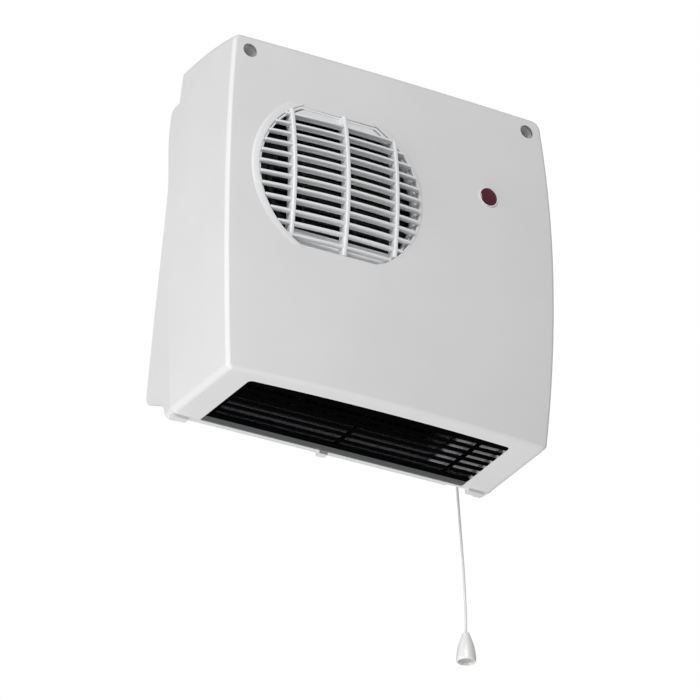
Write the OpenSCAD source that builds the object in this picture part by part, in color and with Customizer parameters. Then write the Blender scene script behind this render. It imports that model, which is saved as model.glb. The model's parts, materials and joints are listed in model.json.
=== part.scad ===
// Bathroom wall fan heater: a moulded casing that hangs on the wall, a centrifugal fan that draws
// room air in through a round grille and blows it down over a ribbon element, and a pull-cord switch.
// Every piece is drawn in the face frame: X across the face, Y from the face's side edges into the
// wall, Z up from a datum just above the casing's lower edge. in_place() then moves it to the wall
// mount at the origin.

/* [Casing] */
// Widest width of the casing, at half its height
face_w = 240; // [238:1:264]
// Height of the face's top edge above the datum
face_h = 236; // [230:1:256]
// How far each side draws in towards the top
side_bow = 6.5; // [4:0.5:8]
// How far each side draws in towards the bottom
low_bow = 5; // [4:0.5:8]
// How far each side spreads from the face to its rear, at the bottom
low_draft = 2; // [0.5:0.5:3]
// Depth from the face's side edges to the wall
body_d = 112; // [110:1:124]
// Depth of the front cover's flanks
cover_d = 70; // [69:1:74]
// Wall of the two casing mouldings
wall_t = 2.5; // [2:0.1:3]
// Forward bow of the face at half its height
face_bulge = 4.5; // [3:0.5:6]
// Forward crown of the face along its top edge
crown_top = 2; // [1:0.5:3]
// Forward crown of the face along its lower edge
crown_low = 5.5; // [4:0.5:7]
// Rounding between the face and the flanks
edge_r = 2.6; // [2:0.1:3.5]
// Rounding of the two upper corners
top_corner_r = 7; // [5:0.5:10]
// Rounding of the two lower corners
low_corner_r = 4; // [3:0.5:8]
// Rise of the top panel from the face to its rear
top_rise = 6.4; // [4:0.2:8]
// Distance of the face's lower edge below the datum
low_front = 2; // [0:0.5:3]
// Fall of the underside from the face to its rear
low_drop = 1; // [0.6:0.2:3]

/* [Wall mount] */
// Height of the mounting centre above the datum
mount_z = 120; // [100:1:140]
// Distance of each fixing hole from the widest line of its flank
fix_in = 45; // [43:1:50]
// Distance between the fixing holes, up and down
fix_h = 150; // [140:1:160]
// Radius of a fixing hole
fix_r = 2.5; // [2:0.1:3]

/* [Back plate] */
// Distance of the recess's left wall from the left flank
recess_left = 24; // [22:1:26]
// Height of the recess's lower wall above the datum
recess_low = 18; // [16:0.5:20]
// Distance of the recess's upper wall below the face's top edge
recess_top = 14; // [12:0.5:16]
// Least depth of the wings behind the face's edges
wing_min = 76; // [75:0.5:78]
// Greatest depth of the wings, near their lower ends
wing_max = 104; // [98:0.5:106]
// Height of the wings' upper ends
wing_top = 222; // [216:1:224]
// Height of each foot under the back plate
foot_h = 2; // [1:0.5:4]
// Depth of each foot behind the back plate's front
foot_d = 5; // [4:0.5:9]

/* [Cover screws] */
// Distance of each screw recess from the widest line of the flank
screw_in = 17.3; // [16.5:0.1:19]
// Distance of each screw recess below the face's top edge
screw_drop = 10.6; // [10:0.1:14]
// Radius of the screw recess
recess_r = 5; // [4.6:0.1:5.2]
// Depth of the seat that the screw head rests on
screw_seat = 54; // [48:1:56]

/* [Air intake] */
// Distance of the fan's axis from the left flank
axis_left = 81; // [80:0.5:83]
// Height of the fan's axis above the datum
axis_z = 142.5; // [141:0.5:146]
// Radius of the intake
intake_r = 57.5; // [56:0.5:59]
// Height of the intake's flat top and bottom from its centre
intake_flat = 50.5; // [49:0.5:52]
// Width of the bevelled lip around the intake
lip_w = 4; // [3:0.5:5]
// How far the lip stands forward of the face's side edges
lip_y = 9; // [8.5:0.25:10]
// Rise of the domed grille at its centre
dome_h = 4.6; // [3:0.2:6]
// Distance between louvres
louvre_pitch = 7.83; // [7:0.1:8]
// Number of louvres
louvres = 12; // [10:1:12]
// Thickness of a louvre
louvre_t = 2.4; // [1.8:0.1:3]
// Depth of a louvre
louvre_d = 5; // [4:0.5:7]
// Distance between the three upright ribs
rib_pitch = 37.2; // [34:0.1:40]
// Thickness of an upright rib
rib_t = 2.8; // [2:0.1:3.5]
// Depth of an upright rib
rib_d = 7.5; // [6:0.5:9]

/* [Air outlet] */
// Distance of the outlet's left end from the left flank
outlet_left = 24; // [23:0.5:26]
// Distance of the outlet's right end from the right flank
outlet_right = 26; // [25.5:0.5:29]
// How far each end of the outlet leans in towards the face
outlet_slant = 1.3; // [0.5:0.1:2]
// Depth of the outlet's front edge, at its ends
outlet_front = 8.5; // [8:0.5:11]
// Forward bow of the outlet's front edge
outlet_bow = 3; // [1:0.5:4]
// Number of bars across the outlet
bars = 7; // [5:1:8]
// Thickness of an outlet bar
bar_t = 1.5; // [1.2:0.1:2]
// Width of an outlet bar
bar_w = 4.5; // [3.5:0.5:5]
// Lean of an outlet bar from the upright
bar_lean = 55; // [45:1:60]
// Width of the grey strip along the outlet's rear edge
strip_w = 9; // [7:0.5:11]

/* [Fan] */
// Outer radius of the impeller
impeller_r = 45; // [42:0.5:46]
// Width of the impeller
impeller_w = 34; // [30:0.5:35]
// Number of impeller blades
blades = 24; // [18:1:30]
// Clearance between the impeller and the housing's tongue
tongue_gap = 5; // [4:0.5:6]
// Widest clearance between the impeller and the scroll
scroll_gap = 26; // [22:0.5:27]
// Radius of the bell mouth
mouth_r = 38; // [36:0.5:39]
// Depth of the housing's front plate behind the face's side edges
housing_y = 14; // [13:0.5:15]
// Sheet thickness of the fan housing
housing_t = 2; // [1.6:0.1:2.2]
// Distance of the duct's right wall from the widest line of the right flank
duct_right = 58; // [56:1:63]
// Radius of the motor shaft
shaft_r = 2.5; // [2:0.1:3]
// Radius of the rotor
rotor_r = 12; // [11:0.5:13]
// Thickness of the lamination stack
stack_t = 18; // [16:0.5:20]

/* [Heating element] */
// Height of the mica boards
board_h = 20; // [18:0.5:22]
// Height of the boards' lower edges above the datum
board_z = 11; // [10:0.5:13]
// Thickness of a mica board
board_t = 1; // [0.8:0.1:1.5]
// Height of a resistance ribbon
ribbon_h = 2.4; // [2:0.1:3]
// Thickness of a resistance ribbon
ribbon_t = 0.6; // [0.5:0.1:1]
// Distance between two bends of a ribbon
ribbon_pitch = 6; // [5:0.1:7]

/* [Indicator] */
// Distance of the indicator from the widest line of the right flank
lens_in = 48.1; // [46:0.1:50]
// Height of the indicator above the datum
lens_z = 166.3; // [160:0.1:172]
// Radius of the red lens
lens_r = 6.2; // [5:0.1:7]

/* [Pull switch] */
// Distance of the cord from the widest line of the right flank
cord_in = 24.5; // [24:0.1:26]
// Distance of the cord behind the back plate
cord_back = 6.7; // [6.5:0.1:8]
// Travel of the cord and the plunger
pull_travel = 10; // [8:0.5:10]
// Width of the switch body
switch_w = 20; // [18:0.5:22]
// Height of the switch body
switch_h = 34; // [33:0.5:38]
// Thickness of the cord
cord_d = 1.6; // [1.2:0.1:2]
// Height of the conical pull
pull_h = 24; // [20:0.5:28]
// Radius of the pull at its open lower end
pull_r = 6.2; // [5:0.1:7]

/* [Fits] */
// Gap between pieces that seat on each other
seat = 0.3; // [0.25:0.05:0.4]
// Radial clearance of a shaft or a screw in its hole
fit = 0.05; // [0.03:0.01:0.08]

/* [Hidden] */
$fn = 48;
eps = 0.01;

// Casing: places that several pieces share
half_w = face_w/2;
axis_x = axis_left - half_w;
screw_x = half_w - screw_in;
fix_w = 2*(half_w - fix_in);
screw_z = face_h - screw_drop;
screw_shank_r = 1.9;
screw_head_r = 3.6;
screw_head_t = 2.5;
plate_y = cover_d + seat;
plate_t = wall_t;
lip_t = 1.5;
boss_r = 4.5;
rib_in = 4;
rib_out = 42;
switch_gap = 0.5;
wing_mid_z = 157;
wing_low_z = 20;
recess_x0 = recess_left - half_w;
recess_x1 = half_w - cord_in + switch_w/2 + switch_gap + wall_t;
recess_z1 = face_h - recess_top;
low_angle = atan(low_drop/cover_d);

// Intake: depth of the collar's rear edge, radius of the dome and depth of its middle
collar_y = -0.5;
dome_r = (intake_r*intake_r + dome_h*dome_h)/(2*dome_h);
grille_y0 = -lip_y + 0.5 - dome_h;
rim_t = 1.5;
baffle_h = 13.5;
guard_over = 6;
guard_t = 4;

// Outlet
outlet_x0 = outlet_left - half_w;
outlet_x1 = half_w - outlet_right;
outlet_y1 = cover_d - 2.5;
outlet_corner_r = 3;
grille_rim = 2.5;
rail_h = 1.8;
ledge_z = 6;
strip_h = 5;
cross_t = 1.5;
cross_left = 25;
cross_right = 21;
cross_x = [axis_x + cross_left, outlet_x1 - cross_right];
duct_over = 2;
strip_y0 = outlet_y1 - strip_w;

// Fan, from the front plate back to the motor
housing_y0 = housing_y + housing_t + seat;
wheel_gap = 2.5;
wheel_y0 = housing_y0 + wheel_gap;
wheel_y1 = wheel_y0 + impeller_w;
housing_y1 = wheel_y1 + 5.5;
blade_in = 9;
blade_t = 1.2;
tongue_a = -30;
scroll_end_a = 180;
scroll_r0 = impeller_r + tongue_gap;
scroll_r1 = impeller_r + scroll_gap;
duct_x0 = outlet_x0 - duct_over;
duct_x1 = half_w - duct_right;
duct_z0 = 7;
duct_z1 = 50;
bracket_t = 1.5;
bracket_w = 25;
bracket_h = 11;
bracket_r = 5;
bracket_y0 = housing_y1 + 4;
stack_y0 = bracket_y0 + 6;
stack_y1 = stack_y0 + stack_t;
bracket_y1 = stack_y1 + 4.5;
motor_bolt_x = 21;
motor_bolt_r = 1.5;
bearing_r = 5;
bearing_l = 6;
coil_leg_z0 = -44;
coil_leg_z1 = -34;
coil_half_x = 13.5;
coil_over = 6;
coil_out = 7;
flange_t = 1.8;
window_x = coil_half_x + flange_t + 1;
core_w = 26;
core_top = 22;
core_r = 6;
neck_t = 5.5;
rotor_gap = 0.5;
hub_r = 7;
hub_l = 16;
shaft_over = 5;

// Housing ears: centre and the depth at which the post under each one starts
ear_r = 4.5;
ear_t = 3;
post_r = 4;
house_screw_r = 1.5;
house_screw_l = 8;
small_head_r = 2.8;
small_head_t = 2.2;
ear_a1 = 135;
ear_a2 = 35;
ear_low_z = 30;
wall_in_y = body_d - wall_t;
ears = [
  concat(on_scroll(ear_a1, ear_r - 0.5), [wall_in_y]),
  concat(on_scroll(ear_a2, ear_r - 0.5), [wall_in_y]),
  [duct_x0 - ear_r + 0.5, ear_low_z, plate_y],
  [duct_x1 + ear_r - 0.5, ear_low_z, wall_in_y]
];

// Element: three ribbons, one above the other, threaded through windows in the boards
ribbon_count = 3;
ribbon_y0 = housing_y0 + board_t + 3 + ribbon_pitch/2;
ribbon_y1 = housing_y1 - housing_t - board_t - 3 - ribbon_pitch/2;
board_count = 4;
ribbon_step = (board_h - 2)/ribbon_count;
cutout_in = 41;
cutout_z = 72;

// Indicator
lens_x = half_w - lens_in;
lens_y = face_y(lens_x, lens_z);
bezel_w = 0.8;
bezel_t = 0.5;

// Electrical bay
term_x = half_w - 38;
term_z = 103;
term_w = 32;
term_h = 14;
term_d = 14;
clamp_z = 80;
grommet_z = 62;
grommet_r = 4.5;

// Pull switch, measured from the floor of the body; spring_low is the spring's room when pulled
cord_x = half_w - cord_in;
cord_y = plate_y + plate_t + cord_back;
switch_z = recess_low + wall_t + 4;
switch_t = 2;
switch_d = switch_w - 2;
floor_z = switch_z + switch_t;
stem_r = 2.2;
stem_z = floor_z + 6;
spring_low = 9.7;
head_z = floor_z + spring_low + pull_travel;
head_r = 6;
head_t = 2.4;
rotor_z = head_z + head_t + 1;
rotor_t = 4;
spring_r = 3.9;
spring_wire = 0.7;
bush_z0 = recess_low - 1.5;
bush_r = 1.5;
bush_body_r = 3;

// Cord: points of its hanging route below the plunger, in mm from the cord's upper end
cord_route = [[0, 0, 0], [0, 0, -4], [0, 0, -8], [0, 0, -12], [0, 0, -16], [0.1, 0, -20],
  [0.3, 0, -24], [0.5, 0, -28], [0.7, 0, -32], [0.9, 0, -36], [1.2, 0, -40], [1.5, 0, -44],
  [1.8, 0, -48], [2.1, 0, -52], [2.4, 0, -56], [2.7, 0, -60], [3, 0, -64], [3.3, 0, -68],
  [3.6, 0, -72], [3.9, 0, -76], [4.2, 0, -80], [4.5, 0, -84], [4.8, 0, -88], [5, 0, -92],
  [5.2, 0, -96], [5.4, 0, -100], [5.6, 0, -104], [5.8, 0, -108], [6, 0, -112], [6.1, 0, -116],
  [6.2, 0, -120], [6.3, 0, -124], [6.3, 0, -130]];
cord_end = cord_route[len(cord_route) - 1];

// Colours
casing_white = [0.86, 0.86, 0.87];
inner_grey = [0.72, 0.73, 0.74];
inner_black = [0.12, 0.12, 0.13];
outlet_black = [0.08, 0.08, 0.09];
strip_grey = [0.4, 0.41, 0.42];
steel = [0.7, 0.71, 0.73];
brass = [0.8, 0.65, 0.3];
copper = [0.72, 0.42, 0.22];
mica = [0.75, 0.68, 0.52];
lens_red = [0.45, 0.12, 0.18];
cord_white = [0.93, 0.93, 0.92];

// ---- Form of the casing ------------------------------------------------------------------

// Half width of the casing at height z and depth y: barrel-sided, spreading rearwards below
function half_at(z, y = 0) =
  let(t = 2*z/face_h - 1, back = min(1, max(0, y/cover_d)))
  half_w - (t > 0 ? side_bow : low_bow)*t*t + low_draft*back*min(1, max(0, -t));

// Depth of the face at x, z: bowed up and down, crowned from side to side
function face_y(x, z) =
  let(t = min(1, max(0, z/face_h)), crown = crown_low + (crown_top - crown_low)*t)
  -face_bulge*(1 - pow(2*t - 1, 2)) - crown*(1 - min(1, pow(x/half_at(z), 2)));

// Height of the top panel and of the underside at depth y
function top_at(y) = face_h + top_rise*(1 - pow(1 - min(1, max(0, y/cover_d)), 2));
function low_at(y) = -low_front - low_drop*y/cover_d;

function arc(cx, cz, r, a0, a1, n) =
  [for (i = [0:n]) let(a = a0 + (a1 - a0)*i/n) [cx + r*cos(a), cz + r*sin(a)]];

// Outline of the casing across X and Z at depth y, drawn in by inset
function outline(y, inset) =
  let(rt = max(0.8, top_corner_r - inset), rb = max(0.8, low_corner_r - inset),
      zt = top_at(y) - inset - rt, zb = low_at(y) + inset + rb,
      xt = half_at(zt, y) - inset - rt, xb = half_at(zb, y) - inset - rb, sides = 10, ends = 6)
  concat(
    arc(xt, zt, rt, 0, 90, 5),
    [for (i = [1:ends - 1]) [xt*(1 - 2*i/ends), zt + rt]],
    arc(-xt, zt, rt, 90, 180, 5),
    [for (i = [1:sides - 1]) let(z = zt + (zb - zt)*i/sides) [-half_at(z, y) + inset, z]],
    arc(-xb, zb, rb, 180, 270, 5),
    [for (i = [1:ends - 1]) [-xb*(1 - 2*i/ends), zb - rb]],
    arc(xb, zb, rb, 270, 360, 5),
    [for (i = [1:sides - 1]) let(z = zb + (zt - zb)*i/sides) [half_at(z, y) - inset, z]]
  );

// One ring of the face: the outline drawn in towards the middle of the face
function face_ring(s, inset) =
  [for (p = outline(0, inset)) let(x = p[0]*s, z = face_h/2 + (p[1] - face_h/2)*s)
    [x, face_y(x, z), z]];

// One ring of the rounding between the face and the flanks
function edge_ring(a, r, inset) =
  [for (p = outline(0, inset + r*(1 - sin(a))))
    [p[0], face_y(p[0], p[1]) + inset + r*(1 - cos(a)), p[1]]];

function flank_ring(y, inset) = [for (p = outline(y, inset)) [p[0], y, p[1]]];

// All rings of one skin of the cover, from the middle of the face back to the rim
function skin(inset) =
  let(r = max(0.6, edge_r - inset/2))
  concat(
    [for (s = [0.25, 0.5, 0.75, 0.92]) [for (p = face_ring(s, inset + r)) p + [0, inset, 0]]],
    [for (a = [0:30:90]) edge_ring(a, r, inset)],
    [for (t = [0.13, 0.28, 0.46, 0.7, 1]) flank_ring(cover_d*t, inset)]
  );

function reverse(v) = [for (i = [len(v) - 1:-1:0]) v[i]];

// A closed skin through rings of equal length, with a point at either end
module loft(first, rings, last) {
  n = len(rings[0]);
  m = len(rings);
  points = concat([first], [for (r = rings) each r], [last]);
  start = [for (i = [0:n - 1]) [0, 1 + i, 1 + (i + 1)%n]];
  sides = [for (k = [0:m - 2], i = [0:n - 1])
    let(a = 1 + k*n + i, b = 1 + k*n + (i + 1)%n) each [[a, b + n, b], [a, a + n, b + n]]];
  end = [for (i = [0:n - 1]) [1 + m*n, 1 + (m - 1)*n + (i + 1)%n, 1 + (m - 1)*n + i]];
  polyhedron(points, concat(start, sides, end), convexity = 6);
}

module cover_shell() {
  middle = [0, face_y(0, face_h/2), face_h/2];
  loft(middle + [0, wall_t, 0], concat(skin(wall_t), reverse(skin(0))), middle);
}

// ---- Helpers -----------------------------------------------------------------------------

module in_place() translate([0, -body_d, -mount_z]) children();

// Extrude an outline drawn in X and Z from depth y0 to y1
module slab_y(y0, y1) translate([0, y1, 0]) rotate([90, 0, 0]) linear_extrude(y1 - y0) children();

// Extrude an outline drawn in Y and Z from x0 to x1
module slab_x(x0, x1) translate([x0, 0, 0]) rotate([90, 0, 90]) linear_extrude(x1 - x0) children();

module rod_y(x, z, r, y0, y1) translate([x, y0, z]) rotate([-90, 0, 0]) cylinder(r = r, h = y1 - y0);

module rod_z(x, y, r, z0, z1) translate([x, y, z0]) cylinder(r = r, h = z1 - z0);

module block(x0, x1, y0, y1, z0, z1) translate([x0, y0, z0]) cube([x1 - x0, y1 - y0, z1 - z0]);

// A form turned about the fan's axis, drawn as radius and depth
module turned(x, z) translate([x, 0, z]) rotate([-90, 0, 0]) rotate_extrude() children();

module on_underside() translate([0, 0, -low_front]) rotate([-low_angle, 0, 0]) children();

module screw(x, z, head_y, tip_y, r, head_r, head_t) {
  difference() {
    union() {
      rod_y(x, z, head_r, head_y, head_y + head_t);
      rod_y(x, z, r, head_y + head_t - eps, tip_y);
    }
    translate([x, head_y + 0.5, z]) for (a = [0, 90])
      rotate([0, a, 0]) cube([head_r*1.1, 2, 0.8], center = true);
  }
}

// ---- Front cover -------------------------------------------------------------------------

// The intake: round, cut flat at the top and the bottom
module intake_2d(grow) translate([axis_x, axis_z]) intersection() {
  circle(r = intake_r + grow, $fn = 96);
  square([2*(intake_r + grow), 2*(intake_flat + grow)], center = true);
}

module intake_lip() {
  intersection() {
    turned(axis_x, axis_z, $fn = 96) polygon([[intake_r - 1, -lip_y], [intake_r + 0.8, -lip_y],
      [intake_r + lip_w, -lip_y + 3.6], [intake_r + lip_w, -lip_y + 5], [intake_r - 1, -lip_y + 5]]);
    slab_y(-lip_y - 1, 0) translate([axis_x, axis_z])
      square([3*intake_r, 2*intake_flat + wall_t], center = true);
  }
  slab_y(-4.5, collar_y) intake_2d(wall_t);
}

// The outlet's outline on the underside, in X and Y, drawn in by inset
function outlet_pts(inset) =
  let(x0 = outlet_x0 + inset, x1 = outlet_x1 - inset, y1 = outlet_y1 - inset, y0 = outlet_front + inset,
      f0 = x0 + outlet_slant, f1 = x1 - outlet_slant,
      r = outlet_corner_r, mid = (f0 + f1)/2, half = (f1 - f0)/2 - r)
  concat([[x1, y1], [x0, y1]],
    [for (a = [0:30:90]) [f0 + r*(1 - cos(a)), y0 + r*(1 - sin(a))]],
    [for (i = [1:9]) let(t = i/5 - 1) [mid + half*t, y0 - outlet_bow*(1 - t*t)]],
    [for (a = [90:-30:0]) [f1 - r*(1 - cos(a)), y0 + r*(1 - sin(a))]]);

// The ledge that closes the casing over the outlet's right end, beside the duct
module outlet_ledge() on_underside() {
  x1 = outlet_x1 + 3;
  y0 = outlet_front + 2;
  y1 = cover_d - 6;
  block(duct_x1 + 2, x1, y0, y1, ledge_z, ledge_z + 1.5);
  block(x1 - 1.5, x1, y0, y1, 1, ledge_z + eps);
}

module front_cover() color(casing_white) in_place() {
  difference() {
    union() {
      cover_shell();
      intake_lip();
      for (s = [-1, 1]) rod_y(s*screw_x, screw_z, recess_r + 2,
        face_y(screw_x, screw_z) + wall_t/2, screw_seat + 3);
      rod_y(lens_x, lens_z, lens_r + bezel_w + 2, lens_y + wall_t/2, lens_y + wall_t + 2);
    }
    slab_y(-lip_y - 5, 5) intake_2d(0);
    for (s = [-1, 1]) {
      rod_y(s*screw_x, screw_z, recess_r, -10, screw_seat);
      rod_y(s*screw_x, screw_z, screw_shank_r + fit, screw_seat - 1, screw_seat + 10);
    }
    rod_y(lens_x, lens_z, lens_r + bezel_t + fit*2, -15, 15);
    on_underside() {
      translate([0, 0, -8]) linear_extrude(16) polygon(outlet_pts(0));
      block(outlet_x0, outlet_x1, outlet_y1 - eps, cover_d + 5, -8, 8);
    }
  }
  outlet_ledge();
}

// ---- Back plate --------------------------------------------------------------------------

// Rear edge of the wings at height z: shallow at the top, sweeping back to the wall below
function wing_y(z) = z > wing_mid_z
  ? wing_min + 5*(1 - cos(180*min(1, (z - wing_mid_z)/47)))/2
  : wing_min + (wing_max - wing_min)*pow((wing_mid_z - z)/(wing_mid_z - wing_low_z), 1.4);

module wing_side_2d() polygon(concat(
  [[plate_y, low_at(cover_d) - 1], [plate_y, wing_top]],
  [[wing_y(wing_top) - 4, wing_top], [wing_y(wing_top) - 1, wing_top - 1]],
  [for (i = [0:18]) let(z = wing_top - 3 + (wing_low_z - wing_top + 3)*i/18) [wing_y(z), z]],
  [[wing_max - 1.5, wing_low_z - 3.7], [wing_max - 20, 8], [wing_max - 23.5, 4],
    [wing_max - 24.5, low_at(cover_d) - 1]]));

module wings() intersection() {
  slab_y(plate_y, wing_max + 1) difference() {
    polygon(outline(cover_d, 0));
    polygon(outline(cover_d, wall_t));
    translate([8 - half_at(0, cover_d), -face_h]) square([2*half_at(0, cover_d) - 16, 3*face_h]);
  }
  slab_x(-face_w, face_w) wing_side_2d();
}

// The plate between the flanks, flush below the wings' tops and drawn in above them
module plate_2d() {
  intersection() {
    polygon(outline(cover_d, 0));
    translate([-face_w, -face_h]) square([2*face_w, wing_top + face_h]);
  }
  polygon(outline(cover_d, wall_t + 0.5));
}

module locating_lip() slab_y(cover_d - 5, plate_y + eps) intersection() {
  difference() {
    polygon(outline(cover_d - 5, wall_t + seat));
    polygon(outline(cover_d - 5, wall_t + seat + lip_t));
  }
  translate([-face_w, 24]) square([2*face_w, 2*face_h]);
}

module foot(x, w) block(x, x + w, plate_y, plate_y + foot_d, low_at(cover_d) - foot_h, 4);

module back_plate() color(casing_white) in_place() difference() {
  union() {
    slab_y(plate_y, plate_y + plate_t) plate_2d();
    wings();
    locating_lip();
    block(recess_x0, recess_x1, plate_y, body_d, recess_low, recess_z1);
    for (s = [-1, 1]) rod_y(s*screw_x, screw_z, boss_r, screw_seat + 3 + seat, plate_y + eps);
    rod_y(ears[2][0], ears[2][1], post_r, housing_y1 + seat, plate_y + eps);
    foot(2 - half_at(0, cover_d), 11);
    foot(-13, 6);
    foot(half_at(0, cover_d) - 17.5, 11);
  }
  difference() {
    block(recess_x0 + wall_t, recess_x1 - wall_t, plate_y - 1, wall_in_y,
      recess_low + wall_t, recess_z1 - wall_t);
    for (k = [0, 1, 3]) rod_y(ears[k][0], ears[k][1], post_r, housing_y1 + seat, body_d);
    fixing_points() rod_y(0, 0, fix_r + 4, wall_in_y - 3, body_d);
    recess_ribs();
  }
  for (k = [0:3]) rod_y(ears[k][0], ears[k][1], house_screw_r + fit, housing_y1 - 1,
    housing_y1 + house_screw_l + 1);
  fixing_points() rod_y(0, 0, fix_r, wall_in_y - 4, body_d + 1);
  for (s = [-1, 1]) rod_y(s*screw_x, screw_z, screw_shank_r + fit, screw_seat, plate_y + 5);
  rod_y(term_x, grommet_z, grommet_r + 2.5, wall_in_y - 1, body_d + 1);
  rod_z(cord_x, cord_y, bush_body_r + fit, recess_low - 1, recess_low + wall_t + 1);
}

// Stiffening ribs on the wall face of the recess: two across and two upright
module recess_ribs() {
  for (s = [-1, 1]) {
    block(recess_x0, term_x - term_w/2 - rib_in, wall_in_y - rib_in, body_d,
      axis_z + s*rib_out - wall_t/2, axis_z + s*rib_out + wall_t/2);
    block(axis_x + s*rib_out - wall_t/2, axis_x + s*rib_out + wall_t/2, wall_in_y - rib_in, body_d,
      recess_low, recess_z1);
  }
}

module fixing_points() for (sx = [-1, 1], sz = [-1, 1])
  translate([sx*fix_w/2, 0, mount_z + sz*fix_h/2]) children();

module cover_screws() color(steel) in_place() for (s = [-1, 1])
  screw(s*screw_x, screw_z, screw_seat - screw_head_t, plate_y + 3,
    screw_shank_r, screw_head_r, screw_head_t);

// ---- Intake grille -----------------------------------------------------------------------

// The dome that the grille's front follows, moved back by depth
module dome(depth) translate([axis_x, grille_y0 + dome_r + depth, axis_z]) sphere(r = dome_r, $fn = 200);

// Louvres and upright ribs, each as deep as given behind the dome
module grille_bars() {
  difference() {
    for (i = [0:louvres - 1]) let(z = axis_z + (i - (louvres - 1)/2)*louvre_pitch - louvre_t/2)
      block(axis_x - intake_r, axis_x + intake_r, -20, 0, z, z + louvre_t);
    dome(louvre_d);
  }
  difference() {
    for (i = [-1, 0, 1]) let(x = axis_x + i*rib_pitch - rib_t/2)
      block(x, x + rib_t, -20, 1, axis_z - intake_r, axis_z + intake_r);
    dome(rib_d);
  }
}

// The closed strip over the top louvre, with the round insert's seam cut across its ends
module top_strip() difference() {
  slab_y(-4.5, -2.5) intersection() {
    intake_2d(-seat - 1);
    translate([axis_x - intake_r, axis_z + (louvres - 1)/2*louvre_pitch])
      square([2*intake_r, intake_flat]);
  }
  slab_y(-5, -2) translate([axis_x, axis_z]) difference() {
    circle(r = intake_r - 2, $fn = 96);
    circle(r = intake_r - 2.9, $fn = 96);
  }
}

// The baffle behind the lowest louvres
module low_baffle() slab_y(-2.3, -0.8) intersection() {
  intake_2d(-seat - 1);
  translate([axis_x - rib_pitch, axis_z - intake_flat]) square([2*rib_pitch, baffle_h]);
}

module intake_grille() color(casing_white) in_place() {
  intersection() {
    union() {
      slab_y(-20, 1) difference() {
        intake_2d(-seat);
        intake_2d(-seat - rim_t);
      }
      intersection() {
        grille_bars();
        slab_y(-20, 1) intake_2d(-seat - 1);
      }
      top_strip();
      low_baffle();
    }
    dome(0);
  }
  slab_y(collar_y + seat, collar_y + seat + rim_t) difference() {
    intake_2d(wall_t);
    intake_2d(-seat - rim_t);
  }
}

// Wires of the finger guard stand between the mouth and the louvres, two to each louvre
module inner_guard() color(inner_grey) in_place() {
  guard_r = mouth_r + guard_over;
  y1 = housing_y - seat;
  y0 = y1 - guard_t;
  turned(axis_x, axis_z)
    polygon([[guard_r - 3, y0], [guard_r, y0], [guard_r, y1], [guard_r - 3, y1]]);
  intersection() {
    rod_y(axis_x, axis_z, guard_r - 1, y0, y1);
    union() {
      for (i = [-10:10]) translate([axis_x, y0 + guard_t/2, axis_z + i*louvre_pitch/2])
        cube([2*guard_r, guard_t/2, 1.1], center = true);
      for (i = [-1, 1]) translate([axis_x + i*rib_pitch/2, y0 + guard_t/2, axis_z])
        cube([2, guard_t, 2*guard_r], center = true);
    }
  }
}

// ---- Outlet ------------------------------------------------------------------------------

// Leaning bars between a front rail and a rear rail; their right ends stand free of the opening
module outlet_grille() color(outlet_black) in_place() on_underside() {
  rear = strip_y0 - seat;
  bar_y0 = outlet_front + 5.5;
  step = (rear - grille_rim - 1 - bar_y0)/(bars - 1);
  intersection() {
    union() {
      difference() {
        linear_extrude(rail_h) polygon(outlet_pts(seat));
        for (right = [0, grille_rim + 1]) translate([right, 0, -1]) linear_extrude(rail_h + 2)
          polygon(outlet_pts(seat + grille_rim));
      }
      block(-face_w, face_w, rear - grille_rim, rear, 0, rail_h);
      for (i = [0:bars - 1]) translate([-face_w, bar_y0 + step*i, bar_t*sin(bar_lean)])
        rotate([-bar_lean, 0, 0]) cube([2*face_w, bar_t, bar_w]);
      for (x = cross_x) block(x, x + cross_t, outlet_front, rear, 0.5, rail_h);
    }
    translate([0, 0, -1]) linear_extrude(bar_w + 2) intersection() {
      polygon(outlet_pts(seat));
      translate([-face_w, -10]) square([2*face_w, rear + 10]);
    }
  }
}

// A rounded strip along the outlet's rear edge
module outlet_deflector() color(strip_grey) in_place() on_underside() {
  end = seat + outlet_slant*strip_w/(outlet_y1 - outlet_front);
  depth = cover_d - strip_y0;
  slab_x(outlet_x0 + end, outlet_x1 - end) difference() {
    translate([strip_y0, 0]) intersection() {
      translate([0, -1]) square([depth - seat, strip_h + 1]);
      translate([depth/2, 12]) circle(r = 13, $fn = 64);
    }
    translate([strip_y0 + 1.5, 1]) square([strip_w - 1, 20]);
  }
}

// ---- Indicator ---------------------------------------------------------------------------

module neon_bezel() color(casing_white) in_place() turned(lens_x, lens_z)
  polygon([[lens_r, lens_y - 0.8], [lens_r + 0.3, lens_y - 1], [lens_r + bezel_w, lens_y - 0.8],
    [lens_r + bezel_w, lens_y - 0.4], [lens_r + bezel_t, lens_y - 0.4], [lens_r + bezel_t, lens_y + 9],
    [lens_r, lens_y + 9]]);

module neon_lens() color(lens_red) in_place() {
  r = lens_r - fit;
  turned(lens_x, lens_z) polygon(concat([[0, lens_y + 5]],
    [for (a = [0:15:90]) [r*sin(a), lens_y - 0.5 - cos(a)]], [[r, lens_y + 5]]));
}

module lamp_holder() color(inner_grey) in_place() difference() {
  union() {
    rod_y(lens_x, lens_z, lens_r - fit, lens_y + 5 + seat, lens_y + 12);
    rod_y(lens_x, lens_z, lens_r + bezel_t, lens_y + 9 + seat, lens_y + 12);
  }
  rod_y(lens_x, lens_z, 2.6, lens_y, lens_y + 13);
}

module neon_lamp() color([0.9, 0.5, 0.35]) in_place() {
  rod_y(lens_x, lens_z, 2.5, lens_y + 5 + seat, lens_y + 20);
  for (s = [-1, 1]) rod_y(lens_x + s*1.2, lens_z, 0.4, lens_y + 20 - eps, lens_y + 26);
}

// ---- Fan housing -------------------------------------------------------------------------

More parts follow.
